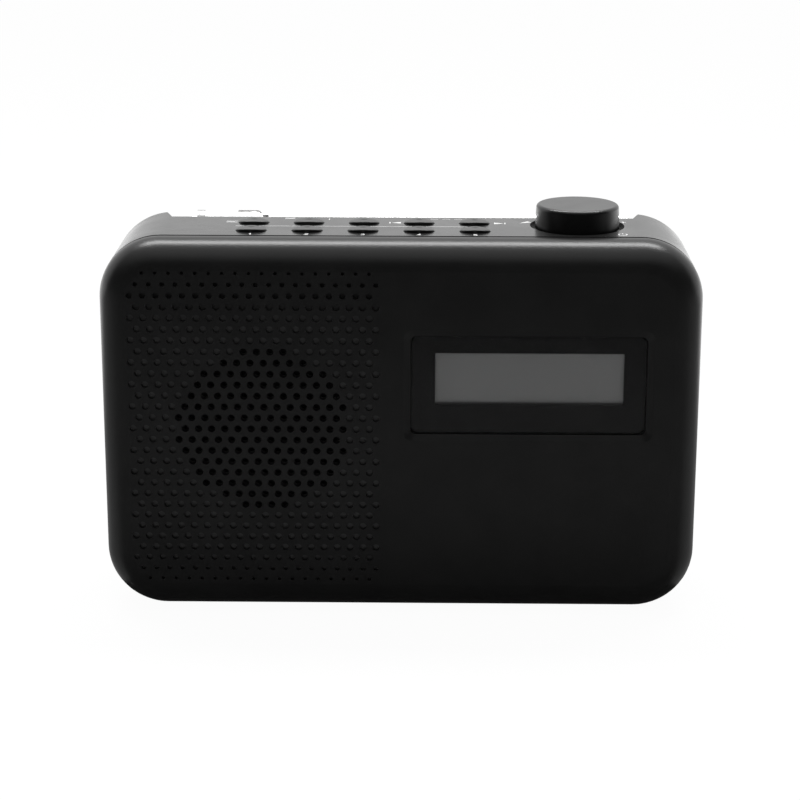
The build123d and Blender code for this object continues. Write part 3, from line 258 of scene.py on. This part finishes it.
def paper():
    """Matte white paper that glows white to the camera and by place in mirrors."""
    material, tree = new_finish("white_paper")
    where = place(tree, "ShaderNodeTexCoord").outputs["Object"]
    ray = place(tree, "ShaderNodeLightPath").outputs
    seen = work_out(tree, "MAXIMUM", ray["Is Camera Ray"], ray["Is Transmission Ray"])
    unseen = work_out(tree, "SUBTRACT", 1, seen)
    mirrored = work_out(tree, "MULTIPLY", mirrored_level(tree, where), unseen)
    level = work_out(tree, "ADD", mirrored, seen)
    glow = place(tree, "ShaderNodeEmission", {"Color": WHITE, "Strength": level})
    fibre = place(tree, "ShaderNodeTexNoise", {"Vector": where, "Scale": FIBRES_PER_METRE, "Detail": 3})
    colour = drift(tree, fibre.outputs["Fac"], (0.92, 0.92, 0.92), (0.96, 0.96, 0.96))
    matte = place(tree, "ShaderNodeBsdfDiffuse", {"Color": colour})
    glowing = work_out(tree, "MULTIPLY", seen, FLOOR_GLOW)
    share = work_out(tree, "MAXIMUM", glowing, ray["Is Glossy Ray"])
    mixed = place(tree, "ShaderNodeMixShader", {0: share, 1: matte.outputs[0], 2: glow.outputs[0]})
    place(tree, "ShaderNodeOutputMaterial", {"Surface": mixed.outputs[0]})
    return material


floor.data.materials.append(paper())
print("floor dressed with", floor.data.materials[0].name)

# %% [markdown]
# ## The lamps
# Two soft boxes light the radio. A long one, high and a little behind, draws the
# bright line on the rounded front edge. A wide one in front fills in the shade, and
# is kept out of mirrors so that the front stays deep. A sun would be simpler, but
# its mirror image in satin plastic is a hard dot, and boxes give broad soft bands.

# %% Soft boxes
def soft_box(name, spot, aim, width, depth, power):
    """A rectangular lamp at a spot, turned towards its aim and hidden from the camera."""
    data = bpy.data.lights.new(name, "AREA")
    data.shape = "RECTANGLE"
    data.size = width
    data.size_y = depth
    data.energy = power
    lamp = bpy.data.objects.new(name, data)
    lamp.location = spot
    lamp.rotation_euler = (Vector(aim) - Vector(spot)).to_track_quat("-Z", "Y").to_euler()
    lamp.visible_camera = False
    scene.collection.objects.link(lamp)
    return lamp


soft_box("top_box", spot=(0, 0.30, 0.95), aim=(0, 0, 0.10), width=1.00, depth=0.25, power=10.6)
front_fill = soft_box(
    "front_fill", spot=(0, -0.90, 0.42), aim=(0, 0, 0.06), width=1.00, depth=0.60, power=2.4,
)
front_fill.visible_glossy = False

# %% [markdown]
# ## Shared effects
# Moulded plastic, metal and rubber share a few traits: a fine grain, patches that
# fingers have made a little shinier, and edges that are slightly rounded and rubbed.
# Each trait could be repeated in every finish, but a node group is built once and
# placed with its own values, so a change to one reaches all of them.

# %% Node group helpers
NUMBER = "NodeSocketFloat"
VECTOR = "NodeSocketVector"


def new_group(name, inputs, outputs):
    """An empty group: named number inputs with a start value, and named outputs."""
    tree = bpy.data.node_groups.new(name, "ShaderNodeTree")
    for label, value in inputs.items():
        socket = tree.interface.new_socket(label, in_out="INPUT", socket_type=NUMBER)
        socket.default_value = value
    for label, kind in outputs.items():
        tree.interface.new_socket(label, in_out="OUTPUT", socket_type=kind)
    return tree, tree.nodes.new("NodeGroupInput").outputs


def close_group(tree, results):
    """Link the results to the group's outputs."""
    place(tree, "NodeGroupOutput", results)
    print("group", tree.name, list(results))
    return tree


def use(tree, group, **values):
    """Place a group in a finish with its own values; returns its outputs."""
    node = tree.nodes.new("ShaderNodeGroup")
    node.node_tree = group
    for label, value in values.items():
        node.inputs[label.title()].default_value = value
    return node.outputs


def where_on_part(tree, scale):
    """The part's own coordinates times a scale."""
    point = place(tree, "ShaderNodeTexCoord").outputs["Object"]
    node = place(tree, "ShaderNodeVectorMath", {"Vector": point, "Scale": scale}, operation="SCALE")
    return node.outputs["Vector"]


print("group helpers ready")

# %% Moulded grain
def build_moulded_grain():
    """Fine spark grain as a height, and the slow tone drift of flowing plastic."""
    tree, given = new_group("moulded_grain", {"Grain": 0.0004}, {"Height": NUMBER, "Tone": NUMBER})
    per_metre = work_out(tree, "DIVIDE", 1, given["Grain"])
    point = where_on_part(tree, per_metre)
    fine = place(tree, "ShaderNodeTexNoise", {"Vector": point, "Scale": 1, "Detail": 2})
    pits = place(tree, "ShaderNodeTexVoronoi", {"Vector": point, "Scale": 0.7}, feature="SMOOTH_F1")
    height = work_out(tree, "MULTIPLY", fine.outputs["Fac"], pits.outputs["Distance"])
    slow = place(tree, "ShaderNodeTexNoise", {"Vector": point, "Scale": 0.03, "Detail": 3})
    mixed = work_out(tree, "ADD", slow.outputs["Fac"], fine.outputs["Fac"])
    tone = work_out(tree, "MULTIPLY", mixed, 0.5)
    return close_group(tree, {"Height": height, "Tone": tone})


moulded_grain = build_moulded_grain()

# %% Handling smears
def build_handling_smears():
    """Roughness that drifts between a polished and a matte value in finger-wide patches."""
    inputs = {"Polished": 0.3, "Matte": 0.5, "Patch": 0.02}
    tree, given = new_group("handling_smears", inputs, {"Roughness": NUMBER})
    point = where_on_part(tree, work_out(tree, "DIVIDE", 1, given["Patch"]))
    inputs = {"Vector": point, "Scale": 1, "Detail": 5, "Distortion": 1.2}
    patches = place(tree, "ShaderNodeTexNoise", inputs).outputs["Fac"]
    rough = spread(tree, patches, *NOISE_BAND, given["Polished"], given["Matte"])
    return close_group(tree, {"Roughness": rough})


handling_smears = build_handling_smears()

# %% Rubbed edges
EDGE_BEND = (0.90, 0.995)
BREAKS_PER_METRE = 900
BREAK_BAND = (0.35, 0.65)
LEAST_RUB = 0.2


def build_rubbed_edge():
    """A normal that rounds sharp edges, and a broken mask along them where they are rubbed."""
    tree, given = new_group("rubbed_edge", {"Radius": 0.0002}, {"Normal": VECTOR, "Rubbed": NUMBER})
    rounded = place(tree, "ShaderNodeBevel", {"Radius": given["Radius"]}, samples=6).outputs["Normal"]
    flat = place(tree, "ShaderNodeNewGeometry").outputs["Normal"]
    agree = place(tree, "ShaderNodeVectorMath", {0: rounded, 1: flat}, operation="DOT_PRODUCT")
    edge = spread(tree, agree.outputs["Value"], *EDGE_BEND, 1, 0)
    point = where_on_part(tree, BREAKS_PER_METRE)
    breaks = place(tree, "ShaderNodeTexNoise", {"Vector": point, "Scale": 1, "Detail": 4})
    broken = spread(tree, breaks.outputs["Fac"], *BREAK_BAND, LEAST_RUB, 1)
    rubbed = work_out(tree, "MULTIPLY", edge, broken)
    return close_group(tree, {"Normal": rounded, "Rubbed": rubbed})


rubbed_edge = build_rubbed_edge()

# %% Drawn lines
def build_drawn_lines():
    """Streaks that run along X, as on drawn tube and rolled sheet."""
    inputs = {"Length": 0.02, "Width": 0.0001}
    tree, given = new_group("drawn_lines", inputs, {"Streak": NUMBER})
    along = work_out(tree, "DIVIDE", 1, given["Length"])
    across = work_out(tree, "DIVIDE", 1, given["Width"])
    stretch = place(tree, "ShaderNodeCombineXYZ", {"X": along, "Y": across, "Z": across})
    point = place(tree, "ShaderNodeTexCoord").outputs["Object"]
    inputs = {0: point, 1: stretch.outputs["Vector"]}
    pulled = place(tree, "ShaderNodeVectorMath", inputs, operation="MULTIPLY").outputs["Vector"]
    lines = place(tree, "ShaderNodeTexNoise", {"Vector": pulled, "Scale": 1, "Detail": 3})
    return close_group(tree, {"Streak": lines.outputs["Fac"]})


drawn_lines = build_drawn_lines()

# %% [markdown]
# ## Finishes
# A finish is one Principled shader fed by the groups above. It could be painted as
# an image, but a procedural finish has no seams, stays sharp close up, and sits on
# the part's own coordinates, so it travels with the part when a joint moves.

# %% Finish helpers
def shade(tree, sockets):
    """End a finish with one Principled shader."""
    shader = place(tree, "ShaderNodeBsdfPrincipled", sockets)
    place(tree, "ShaderNodeOutputMaterial", {"Surface": shader.outputs["BSDF"]})


def raised(tree, height, strength, distance, normal=None):
    """A normal that leans with a height; where a normal is handed in, that one leans."""
    inputs = {"Height": height, "Strength": strength, "Distance": distance}
    if normal is not None:
        inputs["Normal"] = normal
    return place(tree, "ShaderNodeBump", inputs).outputs["Normal"]


def overlay(tree, mask, under, over):
    """Paint one colour over another where the mask is one."""
    inputs = {"Fac": mask, "Color1": under, "Color2": over}
    return place(tree, "ShaderNodeMixRGB", inputs).outputs["Color"]


def grey(level):
    """A neutral colour."""
    return (level, level, level)


def grey4(level):
    """A neutral colour with full cover."""
    return (level, level, level, 1)


def dress(material, *names):
    """Give a finish to parts through their own material slots."""
    for name in names:
        for slot in nodes[name].material_slots:
            slot.material = material
    print(material.name, "on", len(names), "parts")


print("finish helpers ready")

# %% Moulded plastic
TONE_DRIFT = (0.8, 1.2)


def scaled(colour, factor):
    """A colour made darker or paler by a factor."""
    return [factor * part for part in colour]


def plastic(name, tone, polished, matte, grain, depth, radius=0.0002, specular=0.5, rub=2.0):
    """Moulded plastic: grain bump, drifting tone, smeared gloss and rubbed edges."""
    material, tree = new_finish(name)
    skin = use(tree, moulded_grain, grain=grain)
    smears = use(tree, handling_smears, polished=polished, matte=matte)
    edge = use(tree, rubbed_edge, radius=radius)
    body = drift(tree, skin["Tone"], scaled(tone, TONE_DRIFT[0]), scaled(tone, TONE_DRIFT[1]))
    colour = overlay(tree, edge["Rubbed"], body, (*scaled(tone, rub), 1))
    bump = raised(tree, skin["Height"], strength=0.5, distance=depth, normal=edge["Normal"])
    shade(tree, {
        "Base Color": colour, "Roughness": smears["Roughness"], "Normal": bump,
        "Specular IOR Level": specular,
    })
    return material


print("tone drifts by", TONE_DRIFT)

# %% [markdown]
# ## The case
# Both halves of the case are black plastic with a fine eroded grain. The back half
# is a little smoother, which is why the deck shines. One finish for both would be
# simpler, but the front is the darker of the two, and the floors of its dimples
# carry painted light: they are painted paler in all but the top rows, which stay
# dark as painted shade, so each half gets its own values.

# %% Deck finish
deck_plastic = plastic(
    "deck_plastic", grey(0.012), polished=0.21, matte=0.26, grain=0.00035, depth=0.00001, radius=0.00003,
)
dress(deck_plastic, "rear_shell", "battery_door")

# %% Front finish
# Painted light: the dimples' floors are painted paler in place of the light that reaches them, and in the
# top rows the paint fades back to dark as painted shade.
DIMPLE_FLOOR_Y = -0.0256
FLOOR_EDGE = (DIMPLE_FLOOR_Y - 0.00008, DIMPLE_FLOOR_Y - 0.00002)
GRILLE_X = -0.043
GRILLE_HALF_X = 0.042
GRILLE_Z = 0.060
GRILLE_HALF_Z = 0.051
SHADED_ROWS_Z = (0.092, 0.104)
SHADED_SHARE = 0.1


def painted_floor_light(tree):
    """Painted light: one on the floors of the grille's dimples, fading to a small share in its top rows,
    which stay dark as painted shade.
    """
    x, y, z = split(tree, place(tree, "ShaderNodeTexCoord").outputs["Object"])
    low = spread(tree, y, *FLOOR_EDGE, 0, 1)
    across = work_out(tree, "COMPARE", x, GRILLE_X, GRILLE_HALF_X)
    upright = work_out(tree, "COMPARE", z, GRILLE_Z, GRILLE_HALF_Z)
    grille = work_out(tree, "MULTIPLY", across, upright)
    lit = spread(tree, z, *SHADED_ROWS_Z, 1, SHADED_SHARE)
    return work_out(tree, "MULTIPLY", work_out(tree, "MULTIPLY", low, grille), lit)


def front_plastic():
    """The grained front: as the deck, but more matte, with painted light that makes the dimples' floors
    paler.
    """
    material, tree = new_finish("front_plastic")
    skin = use(tree, moulded_grain, grain=0.0004)
    smears = use(tree, handling_smears, polished=0.285, matte=0.305)
    edge = use(tree, rubbed_edge, radius=0.00003)
    body = drift(tree, skin["Tone"], grey(0.004), grey(0.007))
    # Painted light: paler dimple floors, left dark in the top rows as painted shade.
    floors = overlay(tree, painted_floor_light(tree), body, grey4(0.042))
    colour = overlay(tree, edge["Rubbed"], floors, grey4(0.012))
    bump = raised(tree, skin["Height"], strength=0.5, distance=0.00005, normal=edge["Normal"])
    shade(tree, {
        "Base Color": colour, "Roughness": smears["Roughness"], "Normal": bump,
        "Specular IOR Level": 0.4,
    })
    return material


dress(front_plastic(), "front_shell")

# %% [markdown]
# ## Buttons and knob
# Buttons and knob are moulded in the same black, but fingers keep their tops a
# little smoother in patches. They could share the case's finish; their own values
# keep them a shade apart from the deck, as they are on the real radio.

# %% Button and knob finishes
BUTTON_NAMES = [f"preset_button_{count}" for count in range(1, 6)]
BUTTON_NAMES += ["source_button", "menu_button", "info_button", "previous_button", "next_button"]
button_plastic = plastic(
    "button_plastic", grey(0.003), polished=0.31, matte=0.35, grain=0.0003, depth=0.00001, radius=0.00005,
)
dress(button_plastic, *BUTTON_NAMES)
knob_plastic = plastic(
    "knob_plastic", grey(0.002), polished=0.29, matte=0.32, grain=0.0003, depth=0.00001, radius=0.0001,
)
dress(knob_plastic, "volume_knob")

# %% [markdown]
# ## The display
# Three layers lie behind each other: a clear lens, a black film with a window in
# it, and the grey glass of the display, which is switched off. A picture of a
# display would look printed on, so the lens is really clear and the glass really
# lies behind it, with the faint cells of a dot display on it.

# %% Lens and film
def lens_clear():
    """A clear, hard lens: almost no cover of its own, and a sharp gloss."""
    material, tree = new_finish("lens_clear")
    smears = use(tree, handling_smears, polished=0.035, matte=0.04)
    cover = use(tree, handling_smears, polished=0.10, matte=0.103, patch=0.03)
    shade(tree, {
        "Base Color": grey4(0.01), "Roughness": smears["Roughness"], "Alpha": cover["Roughness"],
    })
    return material


def mask_film():
    """Black print on the back of clear film: deep, even and slightly speckled."""
    material, tree = new_finish("mask_film")
    skin = use(tree, moulded_grain, grain=0.0001)
    colour = drift(tree, skin["Tone"], grey(0.004), grey(0.008))
    smears = use(tree, handling_smears, polished=0.15, matte=0.25)
    shade(tree, {"Base Color": colour, "Roughness": smears["Roughness"]})
    return material


dress(lens_clear(), "display_window")
dress(mask_film(), "window_mask")

# %% Display glass
VIEW_CENTRE = (0.0396, 0.0773)
VIEW_HALF = (0.0293, 0.0081)
VIEW_EDGE = 0.0001
CELL_PITCH = 0.00055
CELL_GAP = 0.12


def display_glass():
    """Grey liquid crystal in a dark border; each dot is a square between fine gaps."""
    material, tree = new_finish("display_glass")
    x, _, z = split(tree, place(tree, "ShaderNodeTexCoord").outputs["Object"])
    within = []
    for place_on, middle, half in zip((x, z), VIEW_CENTRE, VIEW_HALF):
        far = work_out(tree, "ABSOLUTE", work_out(tree, "SUBTRACT", place_on, middle))
        within.append(spread(tree, far, half, half + VIEW_EDGE, 1, 0))
    inside = work_out(tree, "MULTIPLY", *within)
    step_x = work_out(tree, "PINGPONG", x, CELL_PITCH / 2)
    step_z = work_out(tree, "PINGPONG", z, CELL_PITCH / 2)
    gap = work_out(tree, "MINIMUM", step_x, step_z)
    dot = spread(tree, gap, 0, CELL_PITCH * CELL_GAP, 0, 1)
    cells = tones(tree, dot, (0, grey(0.142)), (1, grey(0.134)))
    cloud = use(tree, moulded_grain, grain=0.0008)
    cloudy = drift(tree, cloud["Tone"], grey(0.132), grey(0.142))
    mixed = overlay(tree, 0.5, cells, cloudy)
    colour = overlay(tree, inside, grey4(0.065), mixed)
    smears = use(tree, handling_smears, polished=0.24, matte=0.26)
    shade(tree, {"Base Color": colour, "Roughness": smears["Roughness"]})
    return material


dress(display_glass(), "lcd_glass")

# %% [markdown]
# ## Bright and plated metal
# The antenna is chromed brass tube, drawn through a die, so faint lines run along
# it. Its hinge is satin nickel, and the hidden brackets are plainer plated steel. A
# mirror with no lines would do from afar, but it looks like plastic foil close up.

# %% Metal finishes
def metal(name, dark, light, smooth, rough, length, width, depth):
    """Drawn or rolled metal: streaks in tone, gloss and height."""
    material, tree = new_finish(name)
    lines = use(tree, drawn_lines, length=length, width=width)
    edge = use(tree, rubbed_edge, radius=0.00015)
    colour = drift(tree, lines["Streak"], dark, light)
    gloss = spread(tree, lines["Streak"], *NOISE_BAND, smooth, rough)
    bump = raised(tree, lines["Streak"], strength=0.3, distance=depth, normal=edge["Normal"])
    shade(tree, {"Base Color": colour, "Roughness": gloss, "Normal": bump, "Metallic": 1})
    return material


TUBES = [f"antenna_tube_{count}" for count in range(1, 6)]
chrome = metal(
    "chrome", grey(0.86), grey(0.94), smooth=0.26, rough=0.36,
    length=0.03, width=0.00008, depth=0.000004,
)
dress(chrome, *TUBES, "antenna_tip")
satin_nickel = metal(
    "satin_nickel", grey(0.80), grey(0.90), smooth=0.55, rough=0.66,
    length=0.01, width=0.0002, depth=0.000006,
)
dress(satin_nickel, "antenna_knuckle", "antenna_swivel", "antenna_clip")
steel = metal(
    "plated_steel", grey(0.42), grey(0.56), smooth=0.25, rough=0.4,
    length=0.008, width=0.0002, depth=0.000006,
)
dress(
    steel, "antenna_bracket", "antenna_screw", "antenna_pin", "speaker_frame",
    "speaker_top_plate", "speaker_yoke", "encoder_shaft", "tuner_shield", "battery_contacts", "lcd_bezel",
)
screw_black = metal(
    "screw_black", grey(0.03), grey(0.06), smooth=0.3, rough=0.45,
    length=0.002, width=0.0002, depth=0.00001,
)
dress(screw_black, "case_screws", "lcd_screws", "speaker_screws", "control_board_screws", "board_screws")

# %% [markdown]
# ## Inside parts
# Behind the grille and under the battery door lie boards, the speaker and the cells.
# Little of it shows, but the part is looked at with the door off and through the
# holes, so each material still gets its own small pattern.

# %% Boards and small plastic
TRACKS_PER_METRE = 400


def board_laminate():
    """Green solder mask over copper tracks: a checked track pattern in tone and height."""
    material, tree = new_finish("board_laminate")
    point = where_on_part(tree, TRACKS_PER_METRE)
    inputs = {"Vector": point, "Scale": 1, "Mortar Size": 0.05, "Brick Width": 2.6, "Row Height": 0.5}
    tracks = place(tree, "ShaderNodeTexBrick", inputs).outputs["Fac"]
    colour = tones(tree, tracks, (0.0, (0.012, 0.06, 0.022)), (1.0, (0.03, 0.14, 0.05)))
    smears = use(tree, handling_smears, polished=0.25, matte=0.45)
    bump = raised(tree, tracks, strength=0.4, distance=0.00004)
    shade(tree, {"Base Color": colour, "Roughness": smears["Roughness"], "Normal": bump})
    return material


dress(board_laminate(), "control_board", "main_board", "lcd_board")
part_plastic = plastic("part_plastic", grey(0.02), polished=0.35, matte=0.5, grain=0.0002, depth=0.00001)
dress(part_plastic, "button_switches", "encoder_body", "encoder_plunger", "headphone_socket", "power_socket")
soft_rubber = plastic(
    "soft_rubber", grey(0.02), polished=0.65, matte=0.85, grain=0.0003, depth=0.00003, specular=0.3,
)
dress(soft_rubber, "rubber_feet", "speaker_surround", "speaker_gasket")

# %% Speaker
CONE_FIBRES_PER_METRE = 1600
TURNS_PER_METRE = 1000


def cone_paper():
    """Pressed black paper: short fibres in tone and height."""
    material, tree = new_finish("cone_paper")
    point = where_on_part(tree, CONE_FIBRES_PER_METRE)
    fibre = place(tree, "ShaderNodeTexNoise", {"Vector": point, "Scale": 1, "Detail": 5})
    colour = drift(tree, fibre.outputs["Fac"], grey(0.010), grey(0.03))
    bump = raised(tree, fibre.outputs["Fac"], strength=0.5, distance=0.00004)
    smears = use(tree, handling_smears, polished=0.75, matte=0.9)
    shade(tree, {"Base Color": colour, "Roughness": smears["Roughness"], "Normal": bump})
    return material


def coil_copper():
    """Enamelled wire wound round Y: bands in tone and height."""
    material, tree = new_finish("coil_copper")
    inputs = {"Vector": where_on_part(tree, TURNS_PER_METRE), "Scale": 2.2}
    turns = place(tree, "ShaderNodeTexWave", inputs, bands_direction="Y").outputs["Fac"]
    colour = tones(tree, turns, (0.0, (0.25, 0.07, 0.02)), (1.0, (0.6, 0.22, 0.08)))
    bump = raised(tree, turns, strength=0.6, distance=0.00005)
    shade(tree, {"Base Color": colour, "Roughness": 0.3, "Metallic": 1, "Normal": bump})
    return material


dress(cone_paper(), "speaker_cone", "dust_cap")
dress(coil_copper(), "voice_coil")
ferrite = plastic("magnet_ferrite", grey(0.035), polished=0.6, matte=0.75, grain=0.0006, depth=0.00006)
dress(ferrite, "speaker_magnet")

# %% Sleeves, ribbons and wires
CELL_BAND_X = 0.016
CELL_BAND_EDGE = 0.0002
SLEEVE_SHINE = 0.3
CONDUCTORS_PER_METRE = 1000


def cell_sleeve():
    """A shrunk film sleeve with a dark body and a pale band at the inner end of each cell."""
    material, tree = new_finish("cell_sleeve")
    x = split(tree, place(tree, "ShaderNodeTexCoord").outputs["Object"])[0]
    far = work_out(tree, "ABSOLUTE", x)
    band = spread(tree, far, CELL_BAND_X, CELL_BAND_X + CELL_BAND_EDGE, 1, 0)
    body = overlay(tree, band, grey4(0.03), (0.34, 0.33, 0.31, 1))
    lines = use(tree, drawn_lines, length=0.004, width=0.0006)
    shine = drift(tree, lines["Streak"], grey(0.02), grey(0.05))
    colour = overlay(tree, SLEEVE_SHINE, body, shine)
    smears = use(tree, handling_smears, polished=0.18, matte=0.32)
    shade(tree, {"Base Color": colour, "Roughness": smears["Roughness"]})
    return material


def ribbon_film():
    """White film with grey conductors side by side along X."""
    material, tree = new_finish("ribbon_film")
    inputs = {"Vector": where_on_part(tree, CONDUCTORS_PER_METRE), "Scale": 0.31}
    lines = place(tree, "ShaderNodeTexWave", inputs, bands_direction="X").outputs["Fac"]
    colour = tones(tree, lines, (0.4, grey(0.35)), (0.6, grey(0.72)))
    smears = use(tree, handling_smears, polished=0.3, matte=0.45)
    shade(tree, {"Base Color": colour, "Roughness": smears["Roughness"]})
    return material


dress(cell_sleeve(), "battery_cells")
dress(ribbon_film(), "ribbon_cables")
wire_sleeve = plastic(
    "wire_sleeve", (0.30, 0.02, 0.015), polished=0.35, matte=0.5, grain=0.0004, depth=0.00001, rub=1.2,
)
dress(wire_sleeve, "hookup_wires")
capacitor_sleeve = plastic(
    "capacitor_sleeve", (0.02, 0.03, 0.07), polished=0.25, matte=0.4, grain=0.0005, depth=0.00001, rub=1.5,
)
dress(capacitor_sleeve, "board_capacitors")

# %% [markdown]
# ## Marks on the deck
# The deck carries small pale marks by the buttons: digits, a thin rule and plain
# symbols. They could be text objects, but a screen-printed mark is a film of ink
# of one stroke width, so each is a flat strip carried along a path, like the pen
# of a plotter. The paths are in millimetres, and the film is two hundredths thick.

# %% Ink strokes
MM = 0.001
DECK_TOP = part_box("rear_shell")[1].z
INK_FILM = 0.02 * MM
STROKE = 0.4
ARC_POINTS = 24


def ink_stroke(path, widths):
    """A strip along a path: each path point gives four corners, half the width to the left and
    right of the mitred normal, on the deck and one film above it; both ends are closed."""
    path = np.asarray(path, float)
    run = np.diff(path, axis=0)
    run /= np.linalg.norm(run, axis=1, keepdims=True)
    before = np.vstack((run[:1], run))
    after = np.vstack((run, run[-1:]))
    mitre = (before + after) / (1 + np.sum(before * after, axis=1, keepdims=True))
    side = np.stack((-mitre[:, 1], mitre[:, 0]), axis=1) * np.reshape(widths, (-1, 1)) / 2
    left = path + side
    right = path - side
    flat = np.stack((left, right, right, left), axis=1) * MM
    lift = np.broadcast_to([INK_FILM, INK_FILM, 0, 0], flat.shape[:2])[..., None] + DECK_TOP
    points = np.concatenate((flat, lift), axis=2).reshape(-1, 3)
    ring = np.arange(len(path) * 4).reshape(-1, 4)
    turned = np.roll(ring, -1, axis=1)
    walls = np.stack((ring[:-1], turned[:-1], turned[1:], ring[1:]), axis=-1).reshape(-1, 4)
    ends = np.vstack((ring[0][::-1], ring[-1]))
    return points, np.vstack((walls, ends))


def arc(middle, radius, start, stop):
    """Points on a circle: the middle plus the radius times cosine and sine of an even sweep."""
    sweep = np.radians(np.linspace(start, stop, ARC_POINTS))
    return np.asarray(middle) + radius * np.stack((np.cos(sweep), np.sin(sweep)), axis=1)


print("ink film", INK_FILM, "m on the deck at", round(DECK_TOP, 4), "m")

# %% Ink finish
FLECKS_PER_METRE = 4000


def pale_ink():
    """Pale grey print that is thin in places and dull."""
    material, tree = new_finish("pale_ink")
    point = where_on_part(tree, FLECKS_PER_METRE)
    cover = place(tree, "ShaderNodeTexNoise", {"Vector": point, "Scale": 1, "Detail": 4})
    colour = drift(tree, cover.outputs["Fac"], grey(0.50), grey(0.68))
    smears = use(tree, handling_smears, polished=0.5, matte=0.65)
    shade(tree, {"Base Color": colour, "Roughness": smears["Roughness"], "Specular IOR Level": 0.3})
    return material


deck_ink = pale_ink()
print(deck_ink.name)

# %% Digits by the front row
FIRST_BUTTON_X = -46.3
BUTTON_PITCH = 17.26
DIGIT_MIDDLE_Y = -15.0
DIGIT_HEIGHT = 1.7


def print_marks(name, strokes):
    """Join the strokes of one mark into a single piece of ink on the case."""
    shapes = [ink_stroke(path, widths) for path, widths in strokes]
    starts = np.cumsum([0] + [len(points) for points, _ in shapes[:-1]])
    points = np.vstack([points for points, _ in shapes])
    faces = np.vstack([faces + start for (_, faces), start in zip(shapes, starts)])
    piece = mesh_object(name, points, faces)
    piece.data.materials.append(deck_ink)
    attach(piece, "case")
    print(name, len(faces), "faces")


def digit_path(digit):
    """A digit in one stroke, in a box one unit tall, drawn with straight runs and arcs."""
    if digit == 1:
        return [(-0.2, 0.25), (0.05, 0.5), (0.05, -0.5)]
    if digit == 2:
        bow = arc((0, 0.22), 0.28, 170, -35)
        return np.vstack((bow, [(-0.28, -0.5), (0.3, -0.5)]))
    if digit == 3:
        return np.vstack((arc((0, 0.25), 0.25, 160, -80), arc((0, -0.22), 0.28, 80, -160)))
    if digit == 4:
        return [(0.14, -0.5), (0.14, 0.5), (-0.3, -0.2), (0.34, -0.2)]
    hook = arc((-0.02, -0.2), 0.3, 130, -150)
    return np.vstack(([(0.26, 0.5), (-0.2, 0.5)], hook))


digit_strokes = []
for digit in range(1, 6):
    middle = (FIRST_BUTTON_X + BUTTON_PITCH * (digit - 1), DIGIT_MIDDLE_Y)
    digit_strokes.append((np.asarray(digit_path(digit)) * DIGIT_HEIGHT + middle, STROKE))
print_marks("preset_digits", digit_strokes)

# %% Rule and skip symbols
RULE_X = (-51.7, 22.7)
RULE_Y = -3.0
RULE_WIDTH = 0.35
WEDGE_TIP = 0.02
PREVIOUS_STOP = (-3.7, 2.8)
NEXT_STOP = (32.3, 2.4)
SKIP_HALF = 1.1
SKIP_WIDTH = 2.4
SKIP_TIP = 0.4
SKIP_BASE = 3.4


def level_bar(x0, x1, y, width=STROKE):
    """A straight stroke from left to right."""
    return [(x0, y), (x1, y)], width


def upright_bar(x, y0, y1):
    """A straight stroke between two points, one behind the other."""
    return [(x, y0), (x, y1)], STROKE


def wedge(tip, base, width):
    """A stroke that widens from almost nothing at its tip to the full width at its base."""
    return [tip, base], (WEDGE_TIP, width)


def skip_symbol(x, y, side):
    """An arrowhead with its tip at an upright stop, and its base to the right where side is 1."""
    stop = upright_bar(x, y - SKIP_HALF, y + SKIP_HALF)
    return [stop, wedge((x + side * SKIP_TIP, y), (x + side * SKIP_BASE, y), SKIP_WIDTH)]


print_marks("row_rule", [level_bar(*RULE_X, RULE_Y, RULE_WIDTH)])
print_marks("skip_symbols", skip_symbol(*PREVIOUS_STOP, side=1) + skip_symbol(*NEXT_STOP, side=-1))

# %% Function symbols by the back row
INFO_X = -22.9
INFO_STEM = (7.1, 8.2)
INFO_DOT = (8.6, 9.0)
DASH_STARTS = (9.0, 12.75, 16.5)
DASH_LENGTH = 2.5
DASH_Y = 8.6


def list_symbol(left, ends, top, pitch):
    """Level lines, one under the other, from one left edge to an end each."""
    return [level_bar(left, end, top - pitch * row) for row, end in enumerate(ends)]


source_list = list_symbol(left=-55.0, ends=(-51.5, -52.4, -51.5), top=4.1, pitch=0.8)
menu_list = list_symbol(left=-36.9, ends=(-33.8, -33.8, -33.8), top=9.6, pitch=0.7)
info_sign = [upright_bar(INFO_X, *INFO_STEM), upright_bar(INFO_X, *INFO_DOT)]
dashes = [level_bar(start, start + DASH_LENGTH, DASH_Y) for start in DASH_STARTS]
print_marks("function_symbols", source_list + menu_list + info_sign + dashes)

# %% Symbols round the knob
PLUS_MIDDLE = (69.5, 5.0)
PLUS_REACH = 0.9
PLUS_ARM = (0.2, 1.1)
POWER_MIDDLE = (67.95, -13.4)
POWER_RADIUS = 1.3
POWER_SWEEP = (125, 415)
POWER_BAR = (0.4, 1.8)


def plus_sign(x, y):
    """A level bar with an upright arm on either side of it."""
    arms = [upright_bar(x, y + side * PLUS_ARM[0], y + side * PLUS_ARM[1]) for side in (1, -1)]
    return [level_bar(x - PLUS_REACH, x + PLUS_REACH, y), *arms]


def power_sign(x, y):
    """An open ring with an upright bar in its gap."""
    ring = arc((x, y), POWER_RADIUS, *POWER_SWEEP)
    return [(ring, STROKE), upright_bar(x, y + POWER_BAR[0], y + POWER_BAR[1])]


volume_wedge = wedge(tip=(36.9, 2.9), base=(40.1, 5.0), width=2.2)
print_marks("knob_symbols", [volume_wedge, *plus_sign(*PLUS_MIDDLE), *power_sign(*POWER_MIDDLE)])
